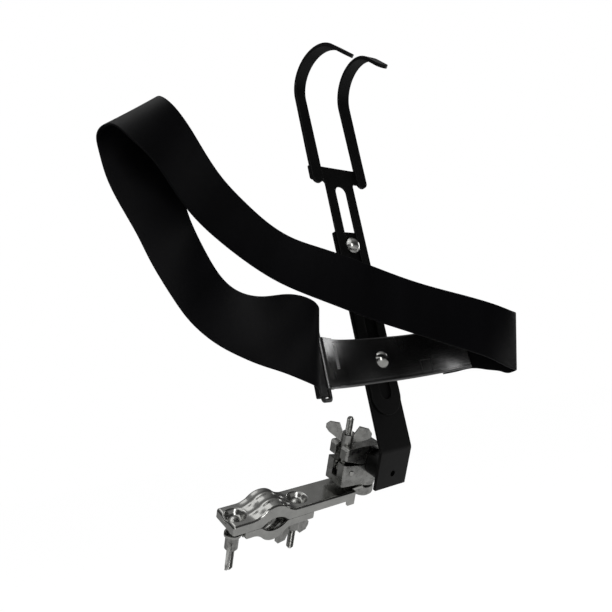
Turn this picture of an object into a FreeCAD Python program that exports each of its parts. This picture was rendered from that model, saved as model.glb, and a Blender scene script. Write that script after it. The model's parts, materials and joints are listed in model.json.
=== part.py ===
import FreeCAD, Part
import math
import os

# Drum holder that clamps to a stand. Millimetres, +Z up along the slotted bar, drum on the -Y side.
# The origin is the middle of the two jaws that grip the stand's tube.

# Rear bar: one flat strip with its foot bent back
bar_width = 34.0
bar_thick = 3.0
bar_height = 188.0
foot_length = 33.0
foot_angle = 31.4
bend_radius = 3.0
bar_corner = 1.5
foot_hole_r = 2.5

# Slotted hook plate
plate_width = 32.0
plate_thick = 2.0
plate_low = 28.0
slot_width = 12.5
slot_low = 41.0
slot_high = 231.0
head_span = 63.0
head_low = 235.0
head_high = 248.5
head_corner = 2.0
head_fillet = 3.0

# Rim hooks of flat strip, welded to the head of the plate
hook_width = 11.5
hook_thick = 3.0
hook_low = 231.0
hook_twist_z = 262.0
hook_bend_z = 312.5
hook_outer_r = 29.8
hook_turn = 142.0
hook_tip = 21.0
hook_toe_in = 6.0

# Bolts through the plate's slot
lower_bolt_z = 73.0
upper_bolt_z = 175.0
bolt_r = 4.0
bolt_head_r = 7.2
bolt_head_h = 4.5
bolt_past_nut = 2.5
washer_r = 8.5
washer_thick = 1.6
nut_across = 13.0
nut_h = 6.5

# Pad
pad_thick = 4.0
pad_height = 38.0
pad_flat = 34.0
pad_left_r = 107.0
pad_left_turn = 30.0
pad_right_r = 80.0
pad_right_turn = 50.0

# Webbing loop
strap_width = 50.0
strap_thick = 1.6
strap_sewn_turn = 18.0
crease_run = 36.0
crease_r = 4.0
crease_turn = 135.0
crease_drop = 7.5
loop_width = 200.0
loop_depth = 70.0
loop_rise = 250.0
tail_length = 22.0

# Ring between pad and webbing, and its tab
ring_height = 56.6
ring_bar = 3.2
ring_pitch = 14.0
ring_round = 0.8
tab_thick = 1.2
tab_turn = 7.0

# Stub tube on the foot
stub_r = 11.0
stub_wall = 2.0
stub_length = 58.0
stub_drop = 21.0

# Clamp arm: pressed channel with one jaw
arm_width = 27.0
arm_depth = 7.4
arm_wall = 2.2
arm_nose = 36.0
arm_nose_corner = 5.0
arm_hump = 7.0
arm_hump_half = 21.0
jaw_r = 16.0
jaw_edge_r = 5.0
jaw_rise = 5.2
jaw_bolt_spacing = 56.0
pivot_x = 98.0
arm_flange_back = 19.0
tongue_r = 9.0
stop_length = 8.0
stop_drop = 4.5
cup_r = 5.9
cup_outer_r = 6.9
cup_depth = 4.4

# Lower jaw
jaw_left = 24.5
jaw_right = 37.0
jaw_depth = 7.0
jaw_hump = 5.0
jaw_hump_half = 18.0
jaw_tongue_r = 6.5

# Clamp bolts and wing nuts
clamp_bolt_r = 3.0
clamp_head_r = 5.3
clamp_head_h = 3.0
clamp_bolt_reach = 37.5
wing_hub_r = 5.1
wing_hub_h = 12.5
wing_span = 38.0
wing_low = 5.0
wing_rise = 20.0
wing_tip_low = 11.0
wing_shoulder = 3.0
wing_thick = 3.0
wing_round = 3.0
grip_wing_turn = 45.0
outer_wing_turn = 48.0
inner_wing_turn = 8.0

# Grip: two jaws round the stub tube
tube_over_arm = 22.0
grip_from_foot = 29.0
grip_half_width = 11.0
grip_bolt_x = 25.5
grip_heel_x = 34.0
grip_wall = 4.5
grip_split = 1.2
grip_lobe_rise = 3.0
grip_gape = 3.0
grip_jaw_top = 16.5
grip_nut_seat = 12.5
grip_nut_room = 0.5
grip_bolt_reach = 39.0
grip_lower_heel = 16.0
base_r = 10.5
base_h = 3.5
grip_eye_r = 5.5
grip_eye_half = 2.5
grip_pin_r = 2.2
grip_pin_drop = 5.5
grip_pin_proud = 0.8
grip_corner = 2.0

# Pivot under the grip
pivot_r = 4.0
pivot_cup_r = 10.3
pivot_cup_h = 9.8
pivot_cup_bevel = 3.0
pivot_cup_floor = 2.5
pivot_thread = 6.0

# Clearances and cutting overrun
run_gap = 0.05
soft_gap = 0.3
hole_gap = 0.2
overrun = 2.0

os.makedirs("parts", exist_ok=True)
X_AXIS = FreeCAD.Vector(1, 0, 0)
Y_AXIS = FreeCAD.Vector(0, 1, 0)
Z_AXIS = FreeCAD.Vector(0, 0, 1)
ORIGIN = FreeCAD.Vector(0, 0, 0)


def vec(x, y, z):
    return FreeCAD.Vector(x, y, z)


def moved(shape, x, y, z):
    out = shape.copy()
    out.translate(vec(x, y, z))
    return out


def turned(shape, centre, axis, angle):
    out = shape.copy()
    out.rotate(centre, axis, angle)
    return out


def cylinder(radius, height, base, axis=Z_AXIS):
    return Part.makeCylinder(radius, height, base, axis)


def block(x0, x1, y0, y1, z0, z1):
    return Part.makeBox(x1 - x0, y1 - y0, z1 - z0, vec(x0, y0, z0))


def polygon_face(points):
    return Part.Face(Part.makePolygon(points + points[:1]))


def heading(angle):
    return math.cos(math.radians(angle)), math.sin(math.radians(angle))


# A strip's path: lines and arcs joined at tangents, as (kind, length or radius, turn)
def trace(start, angle, moves):
    places = [(start[0], start[1], angle)]
    a, b = start
    for kind, size, turn in moves:
        ca, sa = heading(angle)
        if kind == "line":
            a, b = a + size * ca, b + size * sa
        else:
            side = 1 if turn > 0 else -1
            centre = (a - side * size * sa, b + side * size * ca)
            angle += turn
            ca, sa = heading(angle)
            a, b = centre[0] + side * size * sa, centre[1] - side * size * ca
        places.append((a, b, angle))
    return places


def beside(place, offset):
    ca, sa = heading(place[2])
    return place[0] - offset * sa, place[1] + offset * ca


def strip_side(places, moves, offset, to_space):
    edges = []
    for first, last, move in zip(places[:-1], places[1:], moves):
        start = to_space(*beside(first, offset))
        end = to_space(*beside(last, offset))
        if move[0] == "line":
            edges.append(Part.LineSegment(start, end).toShape())
            continue
        half = trace(first[:2], first[2], [(move[0], move[1], move[2] / 2)])[1]
        edges.append(Part.Arc(start, to_space(*beside(half, offset)), end).toShape())
    return edges


# The face that a strip of this thickness covers along its path
def strip_face(start, angle, moves, thick, to_space):
    places = trace(start, angle, moves)
    left = strip_side(places, moves, thick / 2, to_space)
    right = strip_side(places, moves, -thick / 2, to_space)
    caps = []
    for place in (places[0], places[-1]):
        ends = (to_space(*beside(place, thick / 2)), to_space(*beside(place, -thick / 2)))
        caps.append(Part.LineSegment(*ends).toShape())
    ordered = Part.__sortEdges__(left + right + caps)
    return Part.Face(Part.Wire(ordered))


def edges_near(shape, point, reach, longest):
    found = []
    for edge in shape.Edges:
        if edge.Length < longest and edge.CenterOfMass.distanceToPoint(point) < reach:
            found.append(edge)
    return found


# Places worked out from the sizes
tilt_cos, tilt_sin = heading(foot_angle)
tube_z = arm_depth + tube_over_arm
bend_v = -grip_from_foot - bar_thick
bend_h = tube_z + stub_drop
bar_x = pivot_x
bar_y = bend_v * tilt_cos - bend_h * tilt_sin
bar_z = bend_v * tilt_sin + bend_h * tilt_cos
pad_back = -plate_thick - soft_gap
pad_mid = pad_back - pad_thick / 2
pad_front = pad_back - pad_thick


# Bar pieces are drawn about the front middle of the bend and then moved to their place
def on_bar(shape):
    return moved(shape, bar_x, bar_y, bar_z)


# Clamp pieces are drawn level and then leaned with the foot
def on_clamp(shape):
    return turned(shape, ORIGIN, X_AXIS, foot_angle)


def rear_bar():
    mid_r = bend_radius + bar_thick / 2
    set_back = (mid_r + bar_thick / 2) * math.tan(math.radians(foot_angle / 2))
    moves = [("line", bar_height - set_back, 0), ("arc", mid_r, foot_angle)]
    moves.append(("line", foot_length - set_back, 0))
    face = strip_face((bar_thick / 2, bar_height), -90, moves, bar_thick, lambda a, b: vec(-bar_width / 2, a, b))
    bar = face.extrude(vec(bar_width, 0, 0))
    corners = []
    for side in (-1, 1):
        at = vec(side * bar_width / 2, bar_thick / 2, bar_height)
        corners += edges_near(bar, at, bar_corner, bar_thick * 1.1)
    bar = bar.makeFillet(bar_corner, corners)
    for z in (lower_bolt_z, upper_bolt_z):
        bar = bar.cut(cylinder(bolt_r + hole_gap, bar_thick + overrun * 2, vec(0, -overrun, z), Y_AXIS))
    hole = cylinder(foot_hole_r, bar_thick + overrun * 2, vec(0, -overrun, -stub_drop), Y_AXIS)
    return bar.cut(turned(hole, ORIGIN, X_AXIS, foot_angle))


def stub_tube():
    start = vec(0, bar_thick, -stub_drop)
    tube = cylinder(stub_r, stub_length, start, Y_AXIS)
    bore = cylinder(stub_r - stub_wall, stub_length + overrun * 2, vec(0, bar_thick - overrun, -stub_drop), Y_AXIS)
    return turned(tube.cut(bore), ORIGIN, X_AXIS, foot_angle)


def slot_cut():
    depth = plate_thick + overrun * 2
    radius = slot_width / 2
    start = -plate_thick - overrun
    cut = block(-radius, radius, start, start + depth, slot_low + radius, slot_high - radius)
    for z in (slot_low + radius, slot_high - radius):
        cut = cut.fuse(cylinder(radius, depth, vec(0, start, z), Y_AXIS))
    return cut


def hook_plate():
    end_z = plate_low + plate_width / 2
    shank = block(-plate_width / 2, plate_width / 2, -plate_thick, 0, end_z, head_high)
    shank = shank.fuse(cylinder(plate_width / 2, plate_thick, vec(0, -plate_thick, end_z), Y_AXIS))
    head = block(-head_span / 2, head_span / 2, -plate_thick, 0, head_low, head_high)
    plate = shank.fuse(head).removeSplitter()
    outer = []
    for side in (-1, 1):
        for z in (head_low, head_high):
            outer += edges_near(plate, vec(side * head_span / 2, -plate_thick / 2, z), head_corner, plate_thick * 1.1)
    plate = plate.makeFillet(head_corner, outer)
    inner = []
    for side in (-1, 1):
        inner += edges_near(plate, vec(side * plate_width / 2, -plate_thick / 2, head_low), head_corner, plate_thick * 1.1)
    plate = plate.makeFillet(head_fillet, inner)
    return plate.cut(slot_cut())


# A hook: straight strip, a twist that toes it in towards the rim, then the bend and the tip
def rim_hook(side):
    centre_x = side * (head_span - hook_width) / 2
    left = centre_x - hook_width / 2
    back = -plate_thick
    front = back - hook_thick
    straight = block(left, left + hook_width, front, back, hook_low, hook_twist_z)
    feet = []
    for edge_side in (-1, 1):
        at = vec(centre_x + edge_side * hook_width / 2, back - hook_thick / 2, hook_low)
        feet += edges_near(straight, at, hook_thick / 2, hook_thick * 1.1)
    straight = straight.makeFillet(hook_width / 2 - run_gap, feet)
    mid_r = hook_outer_r - hook_thick / 2
    start = (back - hook_thick / 2, hook_bend_z)
    moves = [("arc", mid_r, hook_turn), ("line", hook_tip, 0)]
    face = strip_face(start, 90, moves, hook_thick, lambda a, b: vec(left, a, b))
    bend = face.extrude(vec(hook_width, 0, 0))
    tip = trace(start, 90, moves)[-1]
    ends = []
    for edge_side in (-1, 1):
        at = vec(centre_x + edge_side * hook_width / 2, tip[0], tip[1])
        ends += edges_near(bend, at, hook_thick / 2, hook_thick * 1.1)
    bend = bend.makeFillet(hook_width / 2 - run_gap, ends)
    pin = vec(centre_x, back - hook_thick / 2, 0)
    bend = turned(bend, pin, Z_AXIS, -side * hook_toe_in)
    sections = []
    for z, turn in ((hook_twist_z, 0), (hook_bend_z, -side * hook_toe_in)):
        corners = [vec(left, back, z), vec(left + hook_width, back, z), vec(left + hook_width, front, z), vec(left, front, z)]
        sections.append(turned(Part.makePolygon(corners + corners[:1]), pin, Z_AXIS, turn))
    twist = Part.makeLoft(sections, True, True)
    return straight.fuse(twist).fuse(bend).removeSplitter()


# The dome's outline as shares of its radius and height
dome_shares = ((1.0, 0.0), (0.55, 1.0), (0.0, 1.0))


# Domed head standing on z = 0
def domed_head(radius, height):
    outline = [ORIGIN] + [vec(across * radius, 0, up * height) for across, up in dome_shares]
    return polygon_face(outline).revolve(ORIGIN, Z_AXIS, 360)


# Domed bolt with its shank along +Y from the seat of its head
def slot_bolt(z, seat):
    reach = bar_thick + washer_thick + nut_h + bolt_past_nut
    shank = cylinder(bolt_r, reach - seat, vec(0, seat, z), Y_AXIS)
    head = turned(domed_head(bolt_head_r, bolt_head_h), ORIGIN, X_AXIS, 90)
    return moved(head, 0, seat, z).fuse(shank).removeSplitter()


def slot_washer(z):
    disc = cylinder(washer_r, washer_thick, vec(0, bar_thick, z), Y_AXIS)
    return disc.cut(cylinder(bolt_r + run_gap, washer_thick + overrun * 2, vec(0, bar_thick - overrun, z), Y_AXIS))


def hexagon_prism(across, height, base, axis):
    points = []
    for corner in range(6):
        ca, sa = heading(60 * corner)
        points.append(vec(across / math.sqrt(3) * ca, across / math.sqrt(3) * sa, 0))
    prism = polygon_face(points).extrude(vec(0, 0, height))
    cone_r = across / 2 * 1.1
    chamfer = Part.makeCone(cone_r + height, cone_r, height, ORIGIN, Z_AXIS)
    prism = prism.common(chamfer)
    turn = FreeCAD.Rotation(Z_AXIS, axis)
    prism.Placement = FreeCAD.Placement(base, turn)
    return prism


def slot_nut(z):
    seat = bar_thick + washer_thick
    nut = hexagon_prism(nut_across, nut_h, vec(0, seat, z), Y_AXIS)
    return nut.cut(cylinder(bolt_r + run_gap, nut_h + overrun * 2, vec(0, seat - overrun, z), Y_AXIS))


pad_right_moves = [("line", pad_flat / 2, 0), ("arc", pad_right_r, -pad_right_turn)]
pad_left_moves = [("line", pad_flat / 2, 0), ("arc", pad_left_r, pad_left_turn)]


def pad():
    to_space = lambda a, b: vec(a, b, lower_bolt_z - pad_height / 2)
    right = strip_face((0, pad_mid), 0, pad_right_moves, pad_thick, to_space)
    left = strip_face((0, pad_mid), 180, pad_left_moves, pad_thick, to_space)
    band = right.extrude(vec(0, 0, pad_height)).fuse(left.extrude(vec(0, 0, pad_height)))
    band = band.removeSplitter()
    hole = cylinder(bolt_r + hole_gap, pad_thick + overrun * 2, vec(0, pad_front - overrun, lower_bolt_z), Y_AXIS)
    return band.cut(hole)


# The ring's two bars stand at the pad's left end, one pad side and one webbing side
def ring_places():
    end = trace((0, pad_mid), 180, pad_left_moves)[-1]
    near = trace(end[:2], end[2], [("line", ring_bar, 0)])[-1]
    far = trace(end[:2], end[2], [("line", ring_bar + ring_pitch, 0)])[-1]
    return near, far


def ring():
    near, far = ring_places()
    half = ring_height / 2
    window = strap_width / 2 + soft_gap
    body = block(-ring_bar / 2, ring_pitch + ring_bar / 2, -ring_bar / 2, ring_bar / 2, -half, half)
    hole = block(ring_bar / 2, ring_pitch - ring_bar / 2, -ring_bar, ring_bar, -window, window)
    body = body.cut(hole)
    long_edges = [edge for edge in body.Edges if edge.Length > ring_bar * 2]
    body = body.makeFillet(ring_round, long_edges)
    body = turned(body, ORIGIN, Z_AXIS, near[2])
    return moved(body, near[0], near[1], lower_bolt_z)


def ring_tab():
    loop_r = pad_thick / 2 + soft_gap + tab_thick / 2
    short = [pad_left_moves[0], ("arc", pad_left_r, pad_left_turn - tab_turn)]
    back = trace((0, pad_mid), 180, short)[-1]
    moves = [("arc", pad_left_r - loop_r, tab_turn), ("line", ring_bar, 0), ("arc", loop_r, -180)]
    moves += [("line", ring_bar, 0), ("arc", pad_left_r + loop_r, -tab_turn)]
    to_space = lambda a, b: vec(a, b, lower_bolt_z - pad_height / 2)
    return strip_face(beside(back, loop_r), back[2], moves, tab_thick, to_space).extrude(vec(0, 0, pad_height))


# Hanging loop: centre places as shares of the loop's width, depth and rise, with the way its width points
loop_place_shares = (
    (0.365, -0.930, 0.312), (0.245, -0.850, 0.352), (0.130, -0.740, 0.392), (0.015, -0.620, 0.436),
    (-0.100, -0.500, 0.484), (-0.205, -0.385, 0.532), (-0.310, -0.260, 0.580), (-0.410, -0.150, 0.628),
    (-0.505, -0.100, 0.684), (-0.600, -0.110, 0.744), (-0.695, -0.160, 0.808), (-0.775, -0.250, 0.876),
    (-0.845, -0.340, 0.940), (-0.910, -0.350, 0.996), (-0.945, -0.214, 1.036), (-0.945, -0.043, 1.040),
    (-0.920, 0.071, 1.000), (-0.895, 0.100, 0.936), (-0.885, 0.010, 0.844), (-0.890, -0.110, 0.768),
    (-0.893, -0.250, 0.690), (-0.890, -0.400, 0.612), (-0.878, -0.540, 0.536), (-0.856, -0.670, 0.464),
    (-0.815, -0.780, 0.412), (-0.755, -0.870, 0.376), (-0.685, -0.945, 0.350), (-0.615, -0.985, 0.328),
    (-0.565, -0.940, 0.312), (-0.530, -0.810, 0.300), (-0.492, -0.650, 0.294),
)
loop_width_way_shares = (
    (0.36, -0.02, 0.93), (0.41, 0.05, 0.91), (0.45, 0.10, 0.89), (0.48, 0.12, 0.87),
    (0.50, 0.10, 0.86), (0.52, 0.11, 0.85), (0.55, 0.14, 0.83), (0.58, 0.19, 0.79),
    (0.61, 0.20, 0.77), (0.63, 0.17, 0.76), (0.65, 0.15, 0.74), (0.67, 0.15, 0.73),
    (0.69, 0.14, 0.71), (0.72, 0.08, 0.69), (0.80, 0.00, 0.60), (0.88, -0.14, 0.45),
    (0.88, -0.30, 0.37), (0.76, -0.55, 0.34), (0.55, -0.74, 0.38), (0.32, -0.85, 0.42),
    (0.18, -0.88, 0.44), (0.09, -0.89, 0.45), (0.00, -0.90, 0.44), (-0.06, -0.89, 0.45),
    (-0.06, -0.86, 0.51), (-0.02, -0.80, 0.60), (0.02, -0.68, 0.73), (0.03, -0.50, 0.87),
    (0.02, -0.33, 0.94), (0.01, -0.20, 0.98), (0.00, -0.10, 0.99),
)


# Spans between stations where the webbing folds over and needs a section halfway
folded_spans = range(21, 28)


# Stations of the webbing: a centre and the unit vector along its width
def strap_stations():
    stations = []
    end = trace((0, pad_mid), 0, pad_right_moves)[-1]
    lift = pad_thick / 2 + soft_gap * 2 + strap_thick / 2
    sewn_r = pad_right_r + lift
    centre = (pad_flat / 2, pad_mid - pad_right_r)
    for share in (0, 0.5, 1):
        angle = 90 - pad_right_turn + strap_sewn_turn * (1 - share)
        ca, sa = heading(angle)
        stations.append((vec(centre[0] + sewn_r * ca, centre[1] + sewn_r * sa, lower_bolt_z), Z_AXIS))
    outer = beside(end, lift)
    straight = (outer[0], outer[1], end[2])
    for share in (0.35, 0.7, 1):
        place = trace(straight[:2], straight[2], [("line", crease_run * share, 0)])[-1]
        stations.append((vec(place[0], place[1], lower_bolt_z - crease_drop * share), Z_AXIS))
    run_end = trace(straight[:2], straight[2], [("line", crease_run, 0)])[-1]
    for share in (0.33, 0.67, 1):
        place = trace(run_end[:2], run_end[2], [("arc", crease_r, -crease_turn * share)])[-1]
        way = vec(0.15 * share, 0, 1)
        way.normalize()
        stations.append((vec(place[0], place[1], lower_bolt_z - crease_drop * (1 - share / 4)), way))
    for place, way in zip(loop_place_shares, loop_width_way_shares):
        across = vec(*way)
        across.normalize()
        centre = vec(place[0] * loop_width, place[1] * loop_depth, place[2] * loop_rise)
        stations.append((centre, across))
    near, far = ring_places()
    wrap_r = ring_bar / math.sqrt(2) + soft_gap + strap_thick / 2
    for turn in (0, 60, 120, 180):
        ca, sa = heading(far[2] + 90 + turn)
        stations.append((vec(far[0] + wrap_r * ca, far[1] + wrap_r * sa, lower_bolt_z), Z_AXIS))
    for share in (0.5, 1):
        place = trace(beside(far, -wrap_r), far[2], [("line", tail_length * share, 0)])[-1]
        stations.append((vec(place[0], place[1], lower_bolt_z), Z_AXIS))
    return stations


# One edge of the webbing, through the ends of every station's width
def strap_edge(stations, places, side):
    points = [centre + across * (side * strap_width / 2) for centre, across in stations]
    curve = Part.BSplineCurve()
    curve.interpolate(Points=points, Parameters=places)
    return curve


def strap():
    stations = strap_stations()
    places = [0.0]
    for before, after in zip(stations[:-1], stations[1:]):
        places.append(places[-1] + before[0].distanceToPoint(after[0]))
    top = strap_edge(stations, places, 1)
    low = strap_edge(stations, places, -1)
    cuts = places[:1]
    for index, (before, after) in enumerate(zip(places[:-1], places[1:])):
        if index in folded_spans:
            cuts.append((before + after) / 2)
        cuts.append(after)
    wires = []
    for place in cuts:
        high_at, along_top = top.getD1(place)
        low_at, along_low = low.getD1(place)
        normal = (along_top + along_low).cross(high_at - low_at)
        normal.normalize()
        half = normal * (strap_thick / 2)
        corners = [high_at + half, low_at + half, low_at - half, high_at - half]
        wires.append(Part.makePolygon(corners + corners[:1]))
    return Part.makeLoft(wires, True, True)


# Half of an S-shaped rise made of two equal arcs, from the foot of the hump to its top
def hump_edges(half, rise, foot_z, top_z, offset, sign):
    radius = (half ** 2 + rise ** 2) / (4 * rise)
    lean = math.degrees(math.asin(half / 2 / radius))
    edges = []
    for side in (-1, 1):
        foot_c = vec(side * half, 0, foot_z + sign * radius)
        top_c = vec(0, 0, top_z - sign * radius)
        foot_r = radius + offset
        top_r = radius - offset
        places = []
        for turn in (0, lean / 2, lean):
            ca, sa = heading(turn)
            places.append(foot_c + vec(-side * foot_r * sa, 0, -sign * foot_r * ca))
        edges.append(Part.Arc(*places).toShape())
        places = []
        for turn in (lean, lean / 2, 0):
            ca, sa = heading(turn)
            places.append(top_c + vec(side * top_r * sa, 0, sign * top_r * ca))
        edges.append(Part.Arc(*places).toShape())
    return edges


def line(x0, z0, x1, z1):
    return Part.LineSegment(vec(x0, 0, z0), vec(x1, 0, z1)).toShape()


# The curve of the gripping edge, arched up by sign 1 or down by sign -1
def jaw_edges(sign):
    reach = jaw_r + jaw_edge_r
    drop = jaw_r - jaw_rise
    half = math.sqrt(reach ** 2 - (drop + jaw_edge_r) ** 2)
    lean = math.degrees(math.acos((drop + jaw_edge_r) / reach))
    edges = []
    for side in (-1, 1):
        corner = vec(side * half, 0, sign * jaw_edge_r)
        places = []
        for turn in (0, lean / 2, lean):
            ca, sa = heading(turn)
            places.append(corner + vec(-side * jaw_edge_r * sa, 0, -sign * jaw_edge_r * ca))
        edges.append(Part.Arc(*places).toShape())
    places = []
    for turn in (-lean, 0, lean):
        ca, sa = heading(turn)
        places.append(vec(jaw_r * sa, 0, sign * (jaw_r * ca - drop)))
    edges.append(Part.Arc(*places).toShape())
    return edges, half


def prism_across(edges, half_width):
    face = Part.Face(Part.Wire(Part.__sortEdges__(edges)))
    return moved(face, 0, -half_width, 0).extrude(vec(0, half_width * 2, 0))


def flange_end():
    return pivot_x - arm_flange_back


# A channel with a humped web: its side outline less the hollow under the web
def channel(left, right, depth, hump, hump_half, sign):
    top = sign * depth
    peak = sign * (depth + hump)
    jaw, jaw_half = jaw_edges(sign)
    outer = hump_edges(hump_half, hump, top, peak, 0, sign)
    outer += [line(-left, top, -hump_half, top), line(hump_half, top, right, top)]
    outer += jaw + [line(-left, 0, -jaw_half, 0), line(jaw_half, 0, right, 0)]
    outer += [line(-left, 0, -left, top), line(right, 0, right, top)]
    body = prism_across(outer, arm_width / 2)
    under = top - sign * arm_wall
    below = -sign * overrun
    hollow = hump_edges(hump_half, hump, top, peak, arm_wall, sign)
    hollow += [line(-left + arm_wall, under, -hump_half, under), line(hump_half, under, right + overrun, under)]
    hollow += [line(-left + arm_wall, below, right + overrun, below)]
    hollow += [line(-left + arm_wall, below, -left + arm_wall, under), line(right + overrun, below, right + overrun, under)]
    return body, prism_across(hollow, arm_width / 2 - arm_wall)


def bolt_cup(x):
    outer = cylinder(cup_outer_r, cup_depth + arm_wall, vec(x, 0, arm_depth - cup_depth - arm_wall))
    inner = cylinder(cup_r, cup_depth + overrun, vec(x, 0, arm_depth - cup_depth))
    return outer, inner


def clamp_arm():
    body, hollow = channel(arm_nose, flange_end(), arm_depth, arm_hump, arm_hump_half, 1)
    corners = []
    for side in (-1, 1):
        at = vec(-arm_nose, side * arm_width / 2, arm_depth / 2)
        corners += edges_near(body, at, arm_wall, arm_depth * 1.1)
    body = body.makeFillet(arm_nose_corner, corners)
    arm = body.cut(hollow)
    web_low = arm_depth - arm_wall
    tongue = block(flange_end() - overrun, pivot_x, -tongue_r, tongue_r, web_low, arm_depth)
    tongue = tongue.fuse(cylinder(tongue_r, arm_wall, vec(pivot_x, 0, web_low)))
    arm = arm.fuse(tongue)
    inner_side = arm_wall - arm_width / 2
    stop = block(flange_end() - stop_length, flange_end(), -arm_width / 2, inner_side, -stop_drop, web_low)
    arm = arm.fuse(stop)
    inners = []
    for x in (-jaw_bolt_spacing / 2, jaw_bolt_spacing / 2):
        outer, inner = bolt_cup(x)
        arm = arm.fuse(outer)
        inners.append(inner)
    for inner in inners:
        arm = arm.cut(inner)
    for x in (-jaw_bolt_spacing / 2, jaw_bolt_spacing / 2):
        arm = arm.cut(cylinder(clamp_bolt_r + hole_gap, arm_depth + overrun * 2, vec(x, 0, -overrun)))
    arm = arm.cut(cylinder(pivot_r + run_gap, arm_depth + overrun * 2, vec(pivot_x, 0, -overrun)))
    return arm.removeSplitter()


def clamp_jaw():
    body, hollow = channel(jaw_left, jaw_right, jaw_depth, jaw_hump, jaw_hump_half, -1)
    jaw = body.cut(hollow)
    web_top = arm_wall - jaw_depth
    tongue_x = -jaw_bolt_spacing / 2
    tongue = block(tongue_x, -jaw_left + arm_wall, -jaw_tongue_r, jaw_tongue_r, -jaw_depth, web_top)
    tongue = tongue.fuse(cylinder(jaw_tongue_r, arm_wall, vec(tongue_x, 0, -jaw_depth)))
    jaw = jaw.fuse(tongue)
    for x in (-jaw_bolt_spacing / 2, jaw_bolt_spacing / 2):
        jaw = jaw.cut(cylinder(clamp_bolt_r + run_gap, jaw_depth + overrun * 2, vec(x, 0, -jaw_depth - overrun)))
    return jaw.removeSplitter()


# Domed bolt hanging down from a seat
def hanging_bolt(x, seat, tip, head_r, head_h):
    head = moved(domed_head(head_r, head_h), x, 0, seat)
    shank = cylinder(clamp_bolt_r, seat - tip, vec(x, 0, tip))
    return head.fuse(shank).removeSplitter()


# Wing nut standing on z = 0 with its wings along X
def wing_nut():
    hub = cylinder(wing_hub_r, wing_hub_h, ORIGIN)
    half = wing_span / 2
    root = clamp_bolt_r + run_gap + wing_round / 2
    outline = [vec(root, 0, wing_low), vec(half - wing_round, 0, wing_tip_low), vec(half, 0, wing_tip_low + wing_round)]
    outline += [vec(half, 0, wing_rise - wing_round), vec(half - wing_round, 0, wing_rise)]
    outline += [vec(wing_hub_r + wing_shoulder, 0, wing_rise), vec(root, 0, wing_hub_h)]
    wing = moved(polygon_face(outline), 0, -wing_thick / 2, 0).extrude(vec(0, wing_thick, 0))
    nut = hub.fuse(wing).fuse(turned(wing, ORIGIN, Z_AXIS, 180))
    nut = nut.cut(cylinder(clamp_bolt_r + run_gap, wing_rise + overrun * 2, vec(0, 0, -overrun)))
    return nut.removeSplitter()


def jaw_wing_nut(x, turn):
    nut = turned(wing_nut(), ORIGIN, X_AXIS, 180)
    nut = turned(nut, ORIGIN, Z_AXIS, turn)
    return moved(nut, x, 0, -jaw_depth)


# Half the width of the slot that the swing bolt stands in
def slot_half():
    return clamp_bolt_r + run_gap


def grip_lower_jaw():
    top = tube_z - grip_split / 2
    wall_r = stub_r + grip_wall
    low = top - grip_lower_heel
    left = pivot_x - grip_heel_x
    bolt_x = pivot_x - grip_bolt_x
    pin_z = tube_z - grip_pin_drop
    outline = [vec(left, 0, top + grip_lobe_rise), vec(left, 0, low), vec(pivot_x - base_r, 0, arm_depth + base_h)]
    outline += [vec(pivot_x + base_r / 2, 0, arm_depth + base_h), vec(pivot_x + wall_r, 0, tube_z - stub_r / 2)]
    outline += [vec(pivot_x + wall_r, 0, top), vec(pivot_x - wall_r, 0, top)]
    body = moved(polygon_face(outline), 0, -grip_half_width, 0).extrude(vec(0, grip_half_width * 2, 0))
    upright = [edge for edge in body.Edges if abs(edge.BoundBox.XLength) < run_gap and abs(edge.BoundBox.YLength) < run_gap]
    body = body.makeFillet(grip_corner, upright)
    body = body.fuse(cylinder(base_r, base_h, vec(pivot_x, 0, arm_depth)))
    body = body.cut(tube_space(run_gap))
    room = grip_eye_r + run_gap
    slot = block(left - overrun, bolt_x + room, -slot_half(), slot_half(), pin_z - room, top + grip_jaw_top)
    body = body.cut(slot)
    body = body.cut(grip_cross(grip_pin_r + run_gap, grip_half_width + overrun))
    body = body.cut(cylinder(pivot_r + run_gap, pivot_thread, vec(pivot_x, 0, arm_depth)))
    return body.removeSplitter()


# Cylinder across the grip, through the swing bolt's eye
def grip_cross(radius, half_length):
    start = vec(pivot_x - grip_bolt_x, -half_length, tube_z - grip_pin_drop)
    return cylinder(radius, half_length * 2, start, Y_AXIS)


def grip_pin():
    return grip_cross(grip_pin_r, grip_half_width + grip_pin_proud)


def tube_space(gap):
    return cylinder(stub_r + gap, stub_length * 3, vec(pivot_x, -stub_length * 1.5, tube_z), Y_AXIS)


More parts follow.
